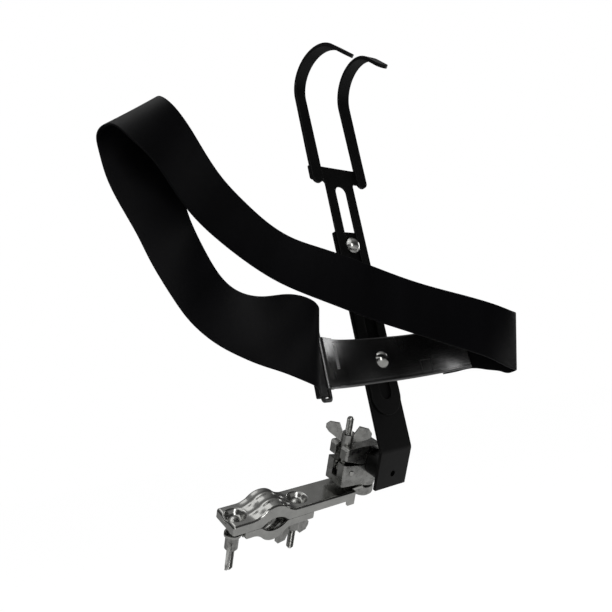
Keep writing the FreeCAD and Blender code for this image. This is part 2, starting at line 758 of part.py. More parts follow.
def grip_upper_jaw():
    low = tube_z + grip_split / 2
    top = tube_z + grip_jaw_top
    wall_r = stub_r + grip_wall
    left = pivot_x - grip_heel_x
    bolt_x = pivot_x - grip_bolt_x
    lobe_low = low + grip_lobe_rise + grip_gape
    saddle = cylinder(wall_r, grip_half_width * 2, vec(pivot_x, -grip_half_width, tube_z), Y_AXIS)
    outline = [vec(left, 0, lobe_low), vec(left, 0, top - grip_corner), vec(left + grip_corner, 0, top)]
    outline += [vec(bolt_x + wing_hub_r + grip_wall, 0, top), vec(pivot_x, 0, tube_z + wall_r), vec(pivot_x, 0, low)]
    outline += [vec(pivot_x - wall_r, 0, low)]
    arm = moved(polygon_face(outline), 0, -grip_half_width, 0).extrude(vec(0, grip_half_width * 2, 0))
    body = saddle.fuse(arm).common(block(left, pivot_x + wall_r, -grip_half_width, grip_half_width, low, top + wall_r))
    upright = []
    for side in (-1, 1):
        at = vec(left, side * grip_half_width, (lobe_low + top - grip_corner) / 2)
        upright += edges_near(body, at, grip_corner, grip_jaw_top)
    body = body.makeFillet(grip_corner, upright)
    body = body.cut(tube_space(run_gap))
    body = body.cut(block(left - overrun, bolt_x, -slot_half(), slot_half(), low, top + overrun))
    body = body.cut(cylinder(slot_half(), tube_z * 2, vec(bolt_x, 0, 0)))
    body = body.cut(cylinder(wing_hub_r + grip_nut_room, tube_z, vec(bolt_x, 0, tube_z + grip_nut_seat)))
    return body.removeSplitter()


# Swing bolt: a stud that ends in an eye
def grip_bolt():
    low = tube_z - grip_pin_drop
    stud = cylinder(clamp_bolt_r, grip_pin_drop + grip_bolt_reach, vec(pivot_x - grip_bolt_x, 0, low))
    bolt = stud.fuse(grip_cross(grip_eye_r, grip_eye_half))
    return bolt.cut(grip_cross(grip_pin_r + run_gap, grip_half_width)).removeSplitter()


def grip_wing_nut():
    nut = turned(wing_nut(), ORIGIN, Z_AXIS, -grip_wing_turn)
    return moved(nut, pivot_x - grip_bolt_x, 0, tube_z + grip_nut_seat)


# Cap nut with a bevelled end, under the arm
def pivot_cup():
    web_low = arm_depth - arm_wall
    cup = cylinder(pivot_cup_r, pivot_cup_h, vec(pivot_x, 0, web_low - pivot_cup_h))
    lower = [edge for edge in cup.Edges if abs(edge.CenterOfMass.z - web_low + pivot_cup_h) < run_gap]
    cup = cup.makeChamfer(pivot_cup_bevel, lower)
    bore = cylinder(pivot_r + run_gap, pivot_cup_h, vec(pivot_x, 0, web_low - pivot_cup_h + pivot_cup_floor))
    return cup.cut(bore)


# Stud from the floor of the cap nut up into the grip
def pivot_bolt():
    base = arm_depth - arm_wall - pivot_cup_h + pivot_cup_floor
    top = arm_depth + pivot_thread
    return cylinder(pivot_r, top - base, vec(pivot_x, 0, base))


pieces = {
    "rear_bar": on_bar(rear_bar()),
    "stub_tube": on_bar(stub_tube()),
    "hook_plate": on_bar(hook_plate()),
    "hook_left": on_bar(rim_hook(-1)),
    "hook_right": on_bar(rim_hook(1)),
    "upper_bolt": on_bar(slot_bolt(upper_bolt_z, -plate_thick)),
    "lower_bolt": on_bar(slot_bolt(lower_bolt_z, pad_front)),
    "upper_washer": on_bar(slot_washer(upper_bolt_z)),
    "lower_washer": on_bar(slot_washer(lower_bolt_z)),
    "upper_nut": on_bar(slot_nut(upper_bolt_z)),
    "lower_nut": on_bar(slot_nut(lower_bolt_z)),
    "pad": on_bar(pad()),
    "strap_ring": on_bar(ring()),
    "ring_tab": on_bar(ring_tab()),
    "strap": on_bar(strap()),
    "clamp_arm": on_clamp(clamp_arm()),
    "clamp_jaw": on_clamp(clamp_jaw()),
    "grip_lower_jaw": on_clamp(grip_lower_jaw()),
    "grip_upper_jaw": on_clamp(grip_upper_jaw()),
    "grip_bolt": on_clamp(grip_bolt()),
    "grip_pin": on_clamp(grip_pin()),
    "grip_wing_nut": on_clamp(grip_wing_nut()),
    "pivot_cup": on_clamp(pivot_cup()),
    "pivot_bolt": on_clamp(pivot_bolt()),
}
for name, x, turn in (("outer", -jaw_bolt_spacing / 2, outer_wing_turn), ("inner", jaw_bolt_spacing / 2, inner_wing_turn)):
    seat = arm_depth - cup_depth
    pieces[name + "_bolt"] = on_clamp(hanging_bolt(x, seat, -clamp_bolt_reach, clamp_head_r, clamp_head_h))
    pieces[name + "_wing_nut"] = on_clamp(jaw_wing_nut(x, turn))

for name, shape in pieces.items():
    shape.exportStep("parts/" + name + ".step")
    print(name, len(shape.Solids), shape.isValid(), round(shape.Volume, 1))

# Places of the mounts and joints in metres, for the record
places = {
    "foot hole": on_bar(turned(Part.Vertex(vec(0, bar_thick / 2, -stub_drop)), ORIGIN, X_AXIS, foot_angle)),
    "rim hooks": on_bar(Part.Vertex(vec(0, -plate_thick - hook_outer_r, hook_bend_z))),
    "arm swivel": on_clamp(Part.Vertex(vec(pivot_x, 0, arm_depth))),
    "grip turn": on_clamp(Part.Vertex(vec(pivot_x, 0, tube_z))),
    "grip nut": on_clamp(Part.Vertex(vec(pivot_x - grip_bolt_x, 0, tube_z + grip_nut_seat))),
    "outer nut": on_clamp(Part.Vertex(vec(-jaw_bolt_spacing / 2, 0, -jaw_depth))),
    "inner nut": on_clamp(Part.Vertex(vec(jaw_bolt_spacing / 2, 0, -jaw_depth))),
    "bar origin": on_bar(Part.Vertex(ORIGIN)),
}
for name, point in places.items():
    spot = point.BoundBox.Center
    print(name, [round(value / 1000, 6) for value in spot])
print("across the foot", round(tilt_cos, 6), round(tilt_sin, 6))
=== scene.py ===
import json
import bmesh
import bpy
import numpy as np
from mathutils import Matrix, Vector


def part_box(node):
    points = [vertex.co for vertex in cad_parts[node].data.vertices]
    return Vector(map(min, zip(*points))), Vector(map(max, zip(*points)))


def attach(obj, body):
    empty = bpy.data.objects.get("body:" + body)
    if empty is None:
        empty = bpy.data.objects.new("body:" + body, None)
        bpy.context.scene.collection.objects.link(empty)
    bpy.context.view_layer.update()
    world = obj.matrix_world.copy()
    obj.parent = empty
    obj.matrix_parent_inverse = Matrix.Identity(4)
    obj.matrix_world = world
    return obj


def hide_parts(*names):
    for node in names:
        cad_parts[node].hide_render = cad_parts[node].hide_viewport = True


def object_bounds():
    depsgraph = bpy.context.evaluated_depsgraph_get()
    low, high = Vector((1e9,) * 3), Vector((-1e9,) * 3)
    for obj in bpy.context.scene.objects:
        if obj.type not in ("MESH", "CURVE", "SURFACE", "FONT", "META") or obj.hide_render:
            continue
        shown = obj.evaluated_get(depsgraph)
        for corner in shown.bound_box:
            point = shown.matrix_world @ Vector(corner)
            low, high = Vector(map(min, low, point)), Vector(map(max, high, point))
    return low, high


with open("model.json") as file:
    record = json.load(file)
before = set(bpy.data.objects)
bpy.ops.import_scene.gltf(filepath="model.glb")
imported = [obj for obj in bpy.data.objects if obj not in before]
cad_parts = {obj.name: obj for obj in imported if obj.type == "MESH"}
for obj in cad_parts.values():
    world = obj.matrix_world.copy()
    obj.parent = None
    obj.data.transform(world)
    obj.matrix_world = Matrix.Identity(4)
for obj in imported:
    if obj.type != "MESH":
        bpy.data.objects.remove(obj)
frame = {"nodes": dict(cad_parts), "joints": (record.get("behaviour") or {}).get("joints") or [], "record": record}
cadBox = [list(corner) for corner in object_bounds()]
nodes = frame["nodes"]
joints = {joint["name"]: joint for joint in frame["joints"]}
bodies = frame["record"]["behaviour"]["bodies"]
bodyOf = {node: body for body, members in bodies.items() for node in members}
print("frame:", len(nodes), "nodes")

# Shapes are worked out in millimetres, in the bar's or the level clamp's own axes, and then put in place
mm = 0.001
clampBack = np.array(joints["grip_turn"]["axis"])
clampUp = np.array(joints["arm_swivel"]["axis"])
clampAlong = np.array([1.0, 0.0, 0.0])
plateFoot = 28.0  # the plate's lower end above the bar's bend
plateLow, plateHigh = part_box("hook_plate")
barPlace = np.array([(plateLow.x + plateHigh.x) / 2, plateHigh.y, plateLow.z - plateFoot * mm])


# From the bar's axes, which start behind its bend, to metres in the frame
def onBar(points):
    return np.asarray(points, float) * mm + barPlace


# From the clamp's axes, which lean with the foot, to metres in the frame
def onClamp(points):
    points = np.asarray(points, float)
    return (points[..., :1] * clampAlong + points[..., 1:2] * clampBack + points[..., 2:3] * clampUp) * mm


def unit(vectors):
    return vectors / np.linalg.norm(vectors, axis=-1, keepdims=True)


# ---- mesh tools: grids of points become pieces

# Lengths in metres, angles in degrees
cleaning = dict(mergeNew=1e-7, mergeNode=1e-6, flatAngle=0.6, cornerAngle=28, smoothAngle=30)


# Quads between neighbouring rows and columns, with either way closed on itself
def gridFaces(rows, columns, closeRows=False, closeColumns=False, first=0):
    index = np.arange(rows * columns).reshape(rows, columns) + first
    if closeRows:
        index = np.vstack([index, index[:1]])
    if closeColumns:
        index = np.hstack([index, index[:, :1]])
    quads = [index[:-1, :-1], index[1:, :-1], index[1:, 1:], index[:-1, 1:]]
    return np.stack(quads, axis=-1).reshape(-1, 4).tolist()


# Smooth faces, with a sharp edge where two meet at more than an angle in degrees
def shade(mesh, angle):
    mesh.polygons.foreach_set("use_smooth", [True] * len(mesh.polygons))
    mesh.set_sharp_from_angle(angle=np.radians(angle))


def newObject(name, data):
    made = bpy.data.objects.new(name, data)
    bpy.context.scene.collection.objects.link(made)
    return made


# One object from points in metres and faces, riding on a body in place of the CAD node that it stands for
def makePiece(name, points, faces, body, material, node, angle=35, outward=True):
    mesh = bpy.data.meshes.new(name)
    mesh.from_pydata(np.reshape(points, (-1, 3)).tolist(), [], faces)
    tidyMesh(mesh, outward)
    shade(mesh, angle)
    mesh.materials.append(material)
    return seat(newObject(name, mesh), body, node)


# Merges the points that meet at seams and poles, and turns closed surfaces outwards
def tidyMesh(mesh, outward):
    shell = bmesh.new()
    shell.from_mesh(mesh)
    bmesh.ops.remove_doubles(shell, verts=shell.verts, dist=cleaning["mergeNew"])
    if outward:
        bmesh.ops.recalc_face_normals(shell, faces=shell.faces)
    shell.to_mesh(mesh)
    shell.free()


def seat(piece, body, node):
    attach(piece, body)
    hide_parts(node)
    return piece


# Writes an object's modifiers into its mesh
def applyModifiers(piece):
    shown = piece.evaluated_get(bpy.context.evaluated_depsgraph_get())
    mesh = bpy.data.meshes.new_from_object(shown)
    piece.modifiers.clear()
    piece.data = mesh


# A copy of a CAD node's mesh, merged into clean faces, with its sharp edges rounded by a width in millimetres
def softened(node, width, material, steps):
    mesh = nodes[node].data.copy()
    shell = bmesh.new()
    shell.from_mesh(mesh)
    bmesh.ops.remove_doubles(shell, verts=shell.verts, dist=cleaning["mergeNode"])
    flat = np.radians(cleaning["flatAngle"])
    bmesh.ops.dissolve_limit(shell, angle_limit=flat, verts=shell.verts, edges=shell.edges)
    corner = np.radians(cleaning["cornerAngle"])
    sharp = [edge for edge in shell.edges if edge.is_manifold and edge.calc_face_angle() > corner]
    bmesh.ops.bevel(shell, geom=sharp, offset=width * mm, segments=steps, profile=0.5, affect="EDGES",
                    clamp_overlap=True)
    shell.to_mesh(mesh)
    shell.free()
    shade(mesh, cleaning["smoothAngle"])
    mesh.materials.clear()
    mesh.materials.append(material)
    piece = newObject(node + "_finished", mesh)
    flatten = piece.modifiers.new("flatten", "WEIGHTED_NORMAL")
    flatten.keep_sharp = True
    applyModifiers(piece)
    return seat(piece, bodyOf[node], node)


wingShape = dict(hub=6.5, thinnest=0.45, edge=0.8)


# A wing nut's wings span the longest way across its axis. From the hub's radius to their tips each point
# moves evenly towards their middle plane, until the thinnest share of their thickness is left
def thinWings(piece):
    mesh = piece.data
    points = np.empty(len(mesh.vertices) * 3)
    mesh.vertices.foreach_get("co", points)
    points = points.reshape(-1, 3)
    middle = (points.max(axis=0) + points.min(axis=0)) / 2
    flat = points - middle
    flat = flat - np.outer(flat @ clampUp, clampUp)
    spanning = flat[np.argmax(np.linalg.norm(flat, axis=1))]
    spanning = unit(spanning[None, :])[0]
    through = np.cross(clampUp, spanning)
    out = np.abs(flat @ spanning)
    hub = wingShape["hub"] * mm
    share = np.clip((out - hub) / (out.max() - hub), 0, 1)
    lean = (points - middle) @ through
    points = points - np.outer(lean * share * (1 - wingShape["thinnest"]), through)
    mesh.vertices.foreach_set("co", points.reshape(-1))
    mesh.update()


# ---- shader tools


class Value:
    # One socket of a shader, added and multiplied as a number
    def __init__(self, finish, socket):
        self.finish = finish
        self.socket = socket

    def joined(self, operation, first, second):
        return self.finish.node("ShaderNodeMath", {"operation": operation}, {0: first, 1: second})

    def __add__(self, other):
        return self.joined("ADD", self, other)

    def __sub__(self, other):
        return self.joined("SUBTRACT", self, other)

    def __rsub__(self, other):
        return self.joined("SUBTRACT", other, self)

    def __mul__(self, other):
        return self.joined("MULTIPLY", self, other)

    def __pow__(self, other):
        return self.joined("POWER", self, other)

    __radd__ = __add__
    __rmul__ = __mul__


class Tree:
    # A node tree whose nodes are added by one call
    def __init__(self, tree):
        self.tree = tree

    def node(self, kind, settings, inputs, output=0):
        made = self.tree.nodes.new(kind)
        for name, value in settings.items():
            if name == "stops":
                self.fillRamp(made.color_ramp.elements, value)
            else:
                setattr(made, name, value)
        for name, value in inputs.items():
            if isinstance(value, Value):
                self.tree.links.new(value.socket, made.inputs[name])
            else:
                made.inputs[name].default_value = value
        return Value(self, made.outputs[output])

    def fillRamp(self, elements, stops):
        for element, (place, colour) in zip(elements, (stops[0], stops[-1])):
            element.position = place
            element.color = (*colour, 1)
        for place, colour in stops[1:-1]:
            elements.new(place).color = (*colour, 1)


class Finish(Tree):
    # A material with one shader
    def __init__(self, name, **constants):
        self.material = bpy.data.materials.new(name)
        self.material.use_nodes = True
        super().__init__(self.material.node_tree)
        self.shader = self.tree.nodes["Principled BSDF"]
        for socket, value in constants.items():
            self.shader.inputs[socket.replace("_", " ")].default_value = value

    def place(self):
        return self.node("ShaderNodeTexCoord", {}, {}, "Object")

    def scaled(self, vector, scale):
        return self.node("ShaderNodeMapping", {}, {"Vector": vector, "Scale": scale})

    def noise(self, vector, scale, detail=3.0, roughness=0.5):
        inputs = {"Vector": vector, "Scale": scale, "Detail": detail, "Roughness": roughness}
        return self.node("ShaderNodeTexNoise", {}, inputs)

    def feed(self, socket, value):
        self.tree.links.new(value.socket, self.shader.inputs[socket])

    # The colour runs from the look's dark to its light by a share, and its depth is in millimetres
    def surface(self, look, share, roughness, height):
        ends = {0: share, 6: (*look["dark"], 1), 7: (*look["light"], 1)}
        self.feed("Base Color", self.node("ShaderNodeMix", {"data_type": "RGBA"}, ends, 2))
        self.feed("Roughness", roughness)
        inputs = {"Height": height, "Strength": look["strength"], "Distance": look["depth"] * mm}
        self.feed("Normal", self.node("ShaderNodeBump", {}, inputs))
        return self.material


def grey(tone, blue=1.0):
    return tone, tone, tone * blue


# Satin powder coat: soft clouds and fine dust in its tone and gloss, over a fine orange peel
def powderCoat():
    look = dict(dark=grey(0.0008), light=grey(0.0034), cloudScale=35, dustScale=420, dustShare=0.3, rough=0.28,
                peelScale=1500, strength=0.25, depth=0.12)
    finish = Finish("powder_coat_satin", Metallic=0.0, Specular_IOR_Level=0.17)
    place = finish.place()
    cloud = finish.noise(place, look["cloudScale"], 4.0)
    dust = finish.noise(place, look["dustScale"], 6.0, 0.7)
    share = cloud * (1 - look["dustShare"]) + dust * look["dustShare"]
    peel = finish.noise(place, look["peelScale"], 2.0)
    return finish.surface(look, share, cloud * 0.16 + dust * 0.12 + look["rough"], peel)


# Chrome with smudges that are darker and glossier, on metal with a shallow wave; dull roughens a casting
def chromePlate(name, deep, bright, smudgeScale, dull=0.0):
    look = dict(dark=grey(deep, 0.96), light=grey(bright, 0.96), rough=0.15, smudgeRough=0.24, waveScale=120,
                grainScale=2600, grainShare=0.03, strength=0.1 + dull, depth=0.03)
    finish = Finish(name, Metallic=1.0)
    place = finish.place()
    smudge = finish.noise(place, smudgeScale, 5.0, 0.65)
    roughness = smudge ** 2.0 * (look["smudgeRough"] + dull) + look["rough"] + dull * 0.4
    wave = finish.noise(place, look["waveScale"], 2.0)
    grain = finish.noise(place, look["grainScale"], 2.0)
    return finish.surface(look, smudge, roughness, wave * 0.6 + grain * look["grainShare"])


# Zinc with a fine spangle in its tone, gloss and surface
def zincPlate():
    look = dict(dark=(0.42, 0.42, 0.44), light=(0.62, 0.62, 0.65), spangleScale=260, strength=0.15, depth=0.2)
    finish = Finish("zinc_bright", Metallic=1.0)
    spangle = finish.noise(finish.place(), look["spangleScale"], 3.0, 0.6)
    return finish.surface(look, spangle, spangle * 0.3 + 0.2, spangle)


# Glossy leather: cells for its pores, and creases that run up and down
def padLeather():
    look = dict(dark=(0.0015, 0.0015, 0.0016), light=(0.005, 0.005, 0.0052), poreScale=900, poreShare=0.35,
                creaseScale=70, creaseStretch=(1.0, 1.0, 0.18), sheenScale=30, strength=0.35, depth=0.6)
    gloss = dict(Specular_IOR_Level=0.95, Coat_Weight=0.7, Coat_Roughness=0.2)
    finish = Finish("pad_leather_glossy", Metallic=0.0, **gloss)
    place = finish.place()
    cells = {"feature": "DISTANCE_TO_EDGE"}
    pores = finish.node("ShaderNodeTexVoronoi", cells, {"Vector": place, "Scale": look["poreScale"]})
    stretched = finish.scaled(place, look["creaseStretch"])
    creases = finish.noise(stretched, look["creaseScale"], 6.0, 0.62)
    rubbed = finish.noise(place, look["sheenScale"], 3.0)
    roughness = rubbed * 0.18 + creases * 0.10 + 0.10
    return finish.surface(look, creases, roughness, pores ** 0.5 * look["poreShare"] + creases)


# Webbing: a sine along it for the ribs and a leaning one for the yarns, with the colour painted lighter on their
# crests as a painted highlight, and soft bands across it of painted light and shade that stand for folds and
# also vary its gloss. The attribute lay holds the place along the webbing and across it, in metres
def webbingWeave():
    look = dict(dark=(0.0004, 0.0004, 0.0006), light=(0.0029, 0.0029, 0.0037), ribPitch=0.00075,
                yarnPitch=0.0011, cloudScale=22, foldShadeScale=30, foldShadeStretch=(1.0, 0.12, 0.0), fibreScale=1200,
                fibreStretch=(1.0, 8.0, 0.0), rough=0.28, strength=0.3, depth=0.08)
    gloss = dict(Specular_IOR_Level=0.07, Sheen_Weight=0.008, Sheen_Roughness=0.35)
    finish = Finish("webbing_satin", Metallic=0.0, **gloss)
    lay = finish.node("ShaderNodeAttribute", {"attribute_name": "lay"}, {}, "Vector")
    along, across = (finish.node("ShaderNodeSeparateXYZ", {}, {"Vector": lay}, output) for output in (0, 1))
    full = 2 * np.pi
    sine = {"operation": "SINE"}
    rib = finish.node("ShaderNodeMath", sine, {0: along * (full / look["ribPitch"])})
    lean = along * (full / look["ribPitch"] / 2) + across * (full / look["yarnPitch"])
    yarn = finish.node("ShaderNodeMath", sine, {0: lean})
    cloud = finish.noise(finish.place(), look["cloudScale"], 4.0)
    # Painted light and shade in soft bands across the webbing, standing for folds that its surface does not have;
    # the same bands also vary its gloss
    foldShadeAndGloss = finish.noise(finish.scaled(lay, look["foldShadeStretch"]), look["foldShadeScale"], 3.0)
    fibre = finish.noise(finish.scaled(lay, look["fibreStretch"]), look["fibreScale"], 2.0)
    # The colour is painted lighter on the crests of the ribs and yarns: a painted highlight
    weaveCrestHighlight = rib * 0.25 + yarn * 0.25 + 0.5
    share = weaveCrestHighlight * 0.3 + foldShadeAndGloss * 1.2 + fibre * 0.2 - 0.35
    roughness = cloud * 0.1 + foldShadeAndGloss * 0.2 + fibre * 0.1 + look["rough"]
    return finish.surface(look, share, roughness, rib * 0.5 + yarn * 0.5 + fibre * 0.4)


# Plastic with the faint clouds of its flow into the mould and a fine grain
def mouldedPlastic():
    look = dict(dark=(0.0025, 0.0025, 0.0025), light=(0.006, 0.006, 0.0062), flowScale=120, fineScale=1800,
                rough=0.38, strength=0.2, depth=0.1)
    finish = Finish("ring_plastic_moulded", Metallic=0.0)
    place = finish.place()
    flow = finish.noise(place, look["flowScale"], 4.0)
    fine = finish.noise(place, look["fineScale"], 2.0)
    return finish.surface(look, flow, flow * 0.2 + look["rough"], fine)


# Thread with a fine twist along the height
def sewingThread(name, dark, light):
    look = dict(dark=grey(dark), light=grey(light), twistScale=1600, twistStretch=(1.0, 1.0, 3.0), rough=0.4,
                strength=0.4, depth=0.1)
    finish = Finish(name, Metallic=0.0, Sheen_Weight=0.1)
    stretched = finish.scaled(finish.place(), look["twistStretch"])
    twist = finish.noise(stretched, look["twistScale"], 3.0)
    return finish.surface(look, twist, twist * 0.25 + look["rough"], twist)


powder = powderCoat()
chrome = chromePlate("chrome_bright", 0.30, 0.60, 60)
castChrome = chromePlate("chrome_cast", 0.02, 0.62, 150, 0.12)
zinc = zincPlate()
leather = padLeather()
webbing = webbingWeave()
plastic = mouldedPlastic()
thread = sewingThread("thread_waxed", 0.003, 0.012)
tackThread = sewingThread("thread_bright", 0.12, 0.45)
print("finishes made")


# ---- paths in the level plane


# Sums so far, from 0
def runningSum(steps):
    return np.concatenate([[0], np.cumsum(steps)])


# A path of runs, each a length and a turn in degrees: the heading changes evenly along each run, and the
# place is the running sum of the heading's cosine and sine
def walk(start, heading, runs, count):
    ends = runningSum([run[0] for run in runs])
    headings = np.radians(heading + runningSum([run[1] for run in runs]))
    along = np.linspace(0, ends[-1], count)
    turn = np.interp(along, ends, headings)
    middle = (turn[1:] + turn[:-1]) / 2
    step = np.diff(along)
    x = start[0] + runningSum(np.cos(middle) * step)
    y = start[1] + runningSum(np.sin(middle) * step)
    return np.stack([x, y], axis=-1), turn, along


# The run of an arc is its radius times its turn in radians
def arcRun(radius, turn):
    return radius * np.radians(abs(turn)), turn


# Even angles round a full turn
def around(count):
    return np.linspace(0, 2 * np.pi, count, endpoint=False)


# The direction of each heading, and its left-hand side
def aheadOf(turn):
    return np.stack([np.cos(turn), np.sin(turn)], axis=-1)


def leftOf(turn):
    return np.stack([-np.sin(turn), np.cos(turn)], axis=-1)


# Places in the level plane lifted to a height
def level(flat, height):
    return np.stack([flat[..., 0], flat[..., 1], height + 0 * flat[..., 0]], axis=-1)


# The length of a line of points up to each of them
def lengthSoFar(points):
    return runningSum(np.linalg.norm(np.diff(points, axis=0), axis=1))


# How much of the full size a rounded end keeps, at a distance inside the end: a quarter ellipse
def roundedEnd(inside, radius):
    near = np.clip(1 - inside / radius, 0, 1)
    return np.sqrt(np.clip(1 - near ** 2, 0.0004, 1))


# ---- pad

padShape = dict(
    thick=4.0, height=38.0, flat=34.0, leftRadius=107.0, leftTurn=30.0, rightRadius=80.0, rightTurn=50.0,
    behind=2.3, boltHeight=73.0, edge=1.5, crown=0.14, grooveIn=3.2, grooveDeep=0.07, grooveWide=0.6,
    rows=260, across=44, endSteps=400,
)
padMiddle = -padShape["behind"] - padShape["thick"] / 2
leftRuns = [(padShape["flat"] / 2, 0), arcRun(padShape["leftRadius"], padShape["leftTurn"])]
rightRuns = [(padShape["flat"] / 2, 0), arcRun(padShape["rightRadius"], -padShape["rightTurn"])]


# The pad's centre line from its left end to its right end, and its heading there
def padPath(count):
    leftFlat, leftTurn, _ = walk((0, padMiddle), 180, leftRuns, count)
    rightFlat, rightTurn, _ = walk((0, padMiddle), 0, rightRuns, count)
    flat = np.vstack([leftFlat[::-1], rightFlat[1:]])
    turn = np.concatenate([leftTurn[::-1] - np.pi, rightTurn[1:]])
    return flat, turn


# A section's outline runs along one face and back along the other
def sectionLoop(rise, offset):
    return np.concatenate([rise, rise[-2:0:-1]]), np.concatenate([offset, -offset[-2:0:-1]])


# A band: a path carries a section that is flat on both faces, round at its edges and thinner at its ends
def bandPoints(flat, turn, middle, shape):
    along = lengthSoFar(flat)
    ends = roundedEnd(np.minimum(along, along[-1] - along), shape["edge"])[:, None]
    half = shape["height"] / 2
    sweep = np.sin(np.linspace(-np.pi / 2, np.pi / 2, shape["across"]))
    rise = sweep * half
    rim = roundedEnd(half - np.abs(rise), shape["edge"])
    fromGroove = (half - np.abs(rise) - shape["grooveIn"]) / shape["grooveWide"]
    groove = shape["grooveDeep"] * np.exp(-fromGroove ** 2)
    crown = 1 - shape["crown"] * sweep ** 2
    offset = shape["thick"] / 2 * rim * crown - groove * (rim > 0.9)
    loopRise, loopOffset = sectionLoop(rise, offset)
    side = leftOf(turn)[:, None, :]
    spread = flat[:, None, :] - side * (loopOffset * ends)[..., None]
    inset = half - shape["edge"] * (1 - ends)
    heights = middle + loopRise * inset / half
    return np.stack([spread[..., 0], spread[..., 1], heights], axis=-1)


# A piece from a closed section carried from end to end, with a cap at each end
def makeBand(name, points, place, body, material, node, angle=35):
    rows, columns = points.shape[:2]
    caps = [list(range(columns))[::-1], list(range((rows - 1) * columns, rows * columns))]
    faces = gridFaces(rows, columns, closeColumns=True) + caps
    return makePiece(name, place(points), faces, body, material, node, angle)


def makePad():
    flat, turn = padPath(padShape["rows"] // 2)
    points = bandPoints(flat, turn, padShape["boltHeight"], padShape)
    piece = makeBand("pad_cushion", points, onBar, "bar", leather, "pad")


makePad()


# ---- sewing on the pad's front

seamShape = dict(pitch=1.9, gap=0.35, lift=0.05, steps=7, sides=8, pathSteps=600)
boxSeam = dict(left=41.5, right=51.5, low=-16.0, high=-5.0, bead=0.36)
tackSeam = dict(left=-63.0, right=-52.5, low=-4.0, high=13.5, rows=13, bead=0.55)


# Places on the pad's front, from places along it, heights over its middle and lifts over its face
def onPadFront(along, height, lift):
    flat, turn = padPath(seamShape["pathSteps"])
    run = lengthSoFar(flat)
    wanted = along + leftRuns[0][0] + leftRuns[1][0]
    side = leftOf(np.interp(wanted, run, turn))
    crown = 1 - padShape["crown"] * (height / padShape["height"] * 2) ** 2
    offset = padShape["thick"] / 2 * crown + lift
    x = np.interp(wanted, run, flat[:, 0]) - side[..., 0] * offset
    y = np.interp(wanted, run, flat[:, 1]) - side[..., 1] * offset
    return np.stack([x, y, height + padShape["boltHeight"]], axis=-1)


# Stitches of even length between two places on the pad
def stitchRow(first, last):
    first, last = np.array(first, float), np.array(last, float)
    length = np.linalg.norm(last - first)
    count = max(1, round(length / seamShape["pitch"]))
    edges = np.linspace(0, 1, count + 1)
    gap = seamShape["gap"] / length / 2
    run = last - first
    pairs = zip(edges[:-1] + gap, edges[1:] - gap)
    return [(first + run * start, first + run * end) for start, end in pairs]


# Each stitch is a bead: round across, full in its middle and closing to its ends
def makeStitches(name, stitches, material, bead):
    ends = np.array(stitches, float)
    steps, sides = seamShape["steps"], seamShape["sides"]
    lean = np.linspace(-1, 1, steps)
    full = bead * np.sqrt(np.clip(1 - lean ** 4, 0.01, 1))
    angle = around(sides)
    middle = ends.mean(axis=1)[:, None, None, :]
    reach = (ends[:, 1] - ends[:, 0])[:, None, None, :] / 2
    across = unit(np.stack([-reach[..., 1], reach[..., 0]], axis=-1))
    flat = middle + reach * lean[None, :, None, None]
    flat = flat + across * (full[:, None] * np.cos(angle))[None, :, :, None]
    lift = np.broadcast_to((full[:, None] * np.sin(angle))[None], flat.shape[:3]) + seamShape["lift"]
    points = onPadFront(flat[..., 0], flat[..., 1], lift)
    faces = []
    for number in range(len(stitches)):
        first = number * steps * sides
        last = first + (steps - 1) * sides
        faces += gridFaces(steps, sides, closeColumns=True, first=first)
        faces += [list(range(first, first + sides))[::-1], list(range(last, last + sides))]
    makePiece(name, onBar(points), faces, "bar", material, "pad", 50)


# Four rows of stitches round a box, at the pad's right end
def makeBoxSeam():
    left, right, low, high = boxSeam["left"], boxSeam["right"], boxSeam["low"], boxSeam["high"]
    corners = [(left, low), (right, low), (right, high), (left, high)]
    stitches = []
    for first, last in zip(corners, corners[1:] + corners[:1]):
        stitches += stitchRow(first, last)
    makeStitches("pad_box_seam", stitches, thread, boxSeam["bead"])


# Long stitches above each other, at the pad's left end
def makeTackSeam():
    rows = np.linspace(tackSeam["low"], tackSeam["high"], tackSeam["rows"])
    stitches = [((tackSeam["left"], row), (tackSeam["right"], row)) for row in rows]
    makeStitches("pad_tack_seam", stitches, tackThread, tackSeam["bead"])


makeBoxSeam()
makeTackSeam()


# ---- ring and its tab

ringShape = dict(bar=3.2, height=56.6, pitch=14.0, webWindow=25.3, corner=2.4, squareness=0.72, slim=0.94,
                 rows=48, around=20)
tabShape = dict(
    thick=1.2, height=38.0, gap=0.3, turn=7.0, edge=0.6, crown=0.0, grooveIn=2.2, grooveDeep=0.12,
    grooveWide=0.4, rows=90, across=30,
)


# The pad's left end and the heading there
def ringEnd():
    flat, turn, _ = walk((0, padMiddle), 180, leftRuns, padShape["endSteps"])
    return flat[-1], turn[-1]


# The centre line of a frame with round corners carries a section whose cosine and sine are raised to a
# power, which squares it a little
def makeRing():
    place, heading = ringEnd()
    ahead = aheadOf(heading)
    halfAlong = ringShape["pitch"] / 2
    sideBar = ringShape["height"] / 2 - ringShape["webWindow"]
    halfUp = ringShape["height"] / 2 - sideBar / 2
    radius = ringShape["corner"]
    outward = aheadOf(around(ringShape["rows"]) + np.pi / ringShape["rows"])
    corners = np.sign(outward) * np.array([halfAlong - radius, halfUp - radius])
    line = corners + outward * radius
    section = aheadOf(around(ringShape["around"]))
    across, through = (np.sign(section) * np.abs(section) ** ringShape["squareness"]).T
    half = ringShape["bar"] / 2 * ringShape["slim"]
    spread = line[:, None, :] + outward[:, None, :] * (across * half)[None, :, None]
    middle = place + ahead * (ringShape["bar"] + halfAlong)
    flat = middle + spread[..., :1] * ahead + (through * half)[None, :, None] * leftOf(heading)
    points = np.stack([flat[..., 0], flat[..., 1], padShape["boltHeight"] + spread[..., 1]], axis=-1)
    faces = gridFaces(*points.shape[:2], True, True)
    makePiece("strap_ring_moulded", onBar(points), faces, "bar", plastic, "strap_ring", 60)


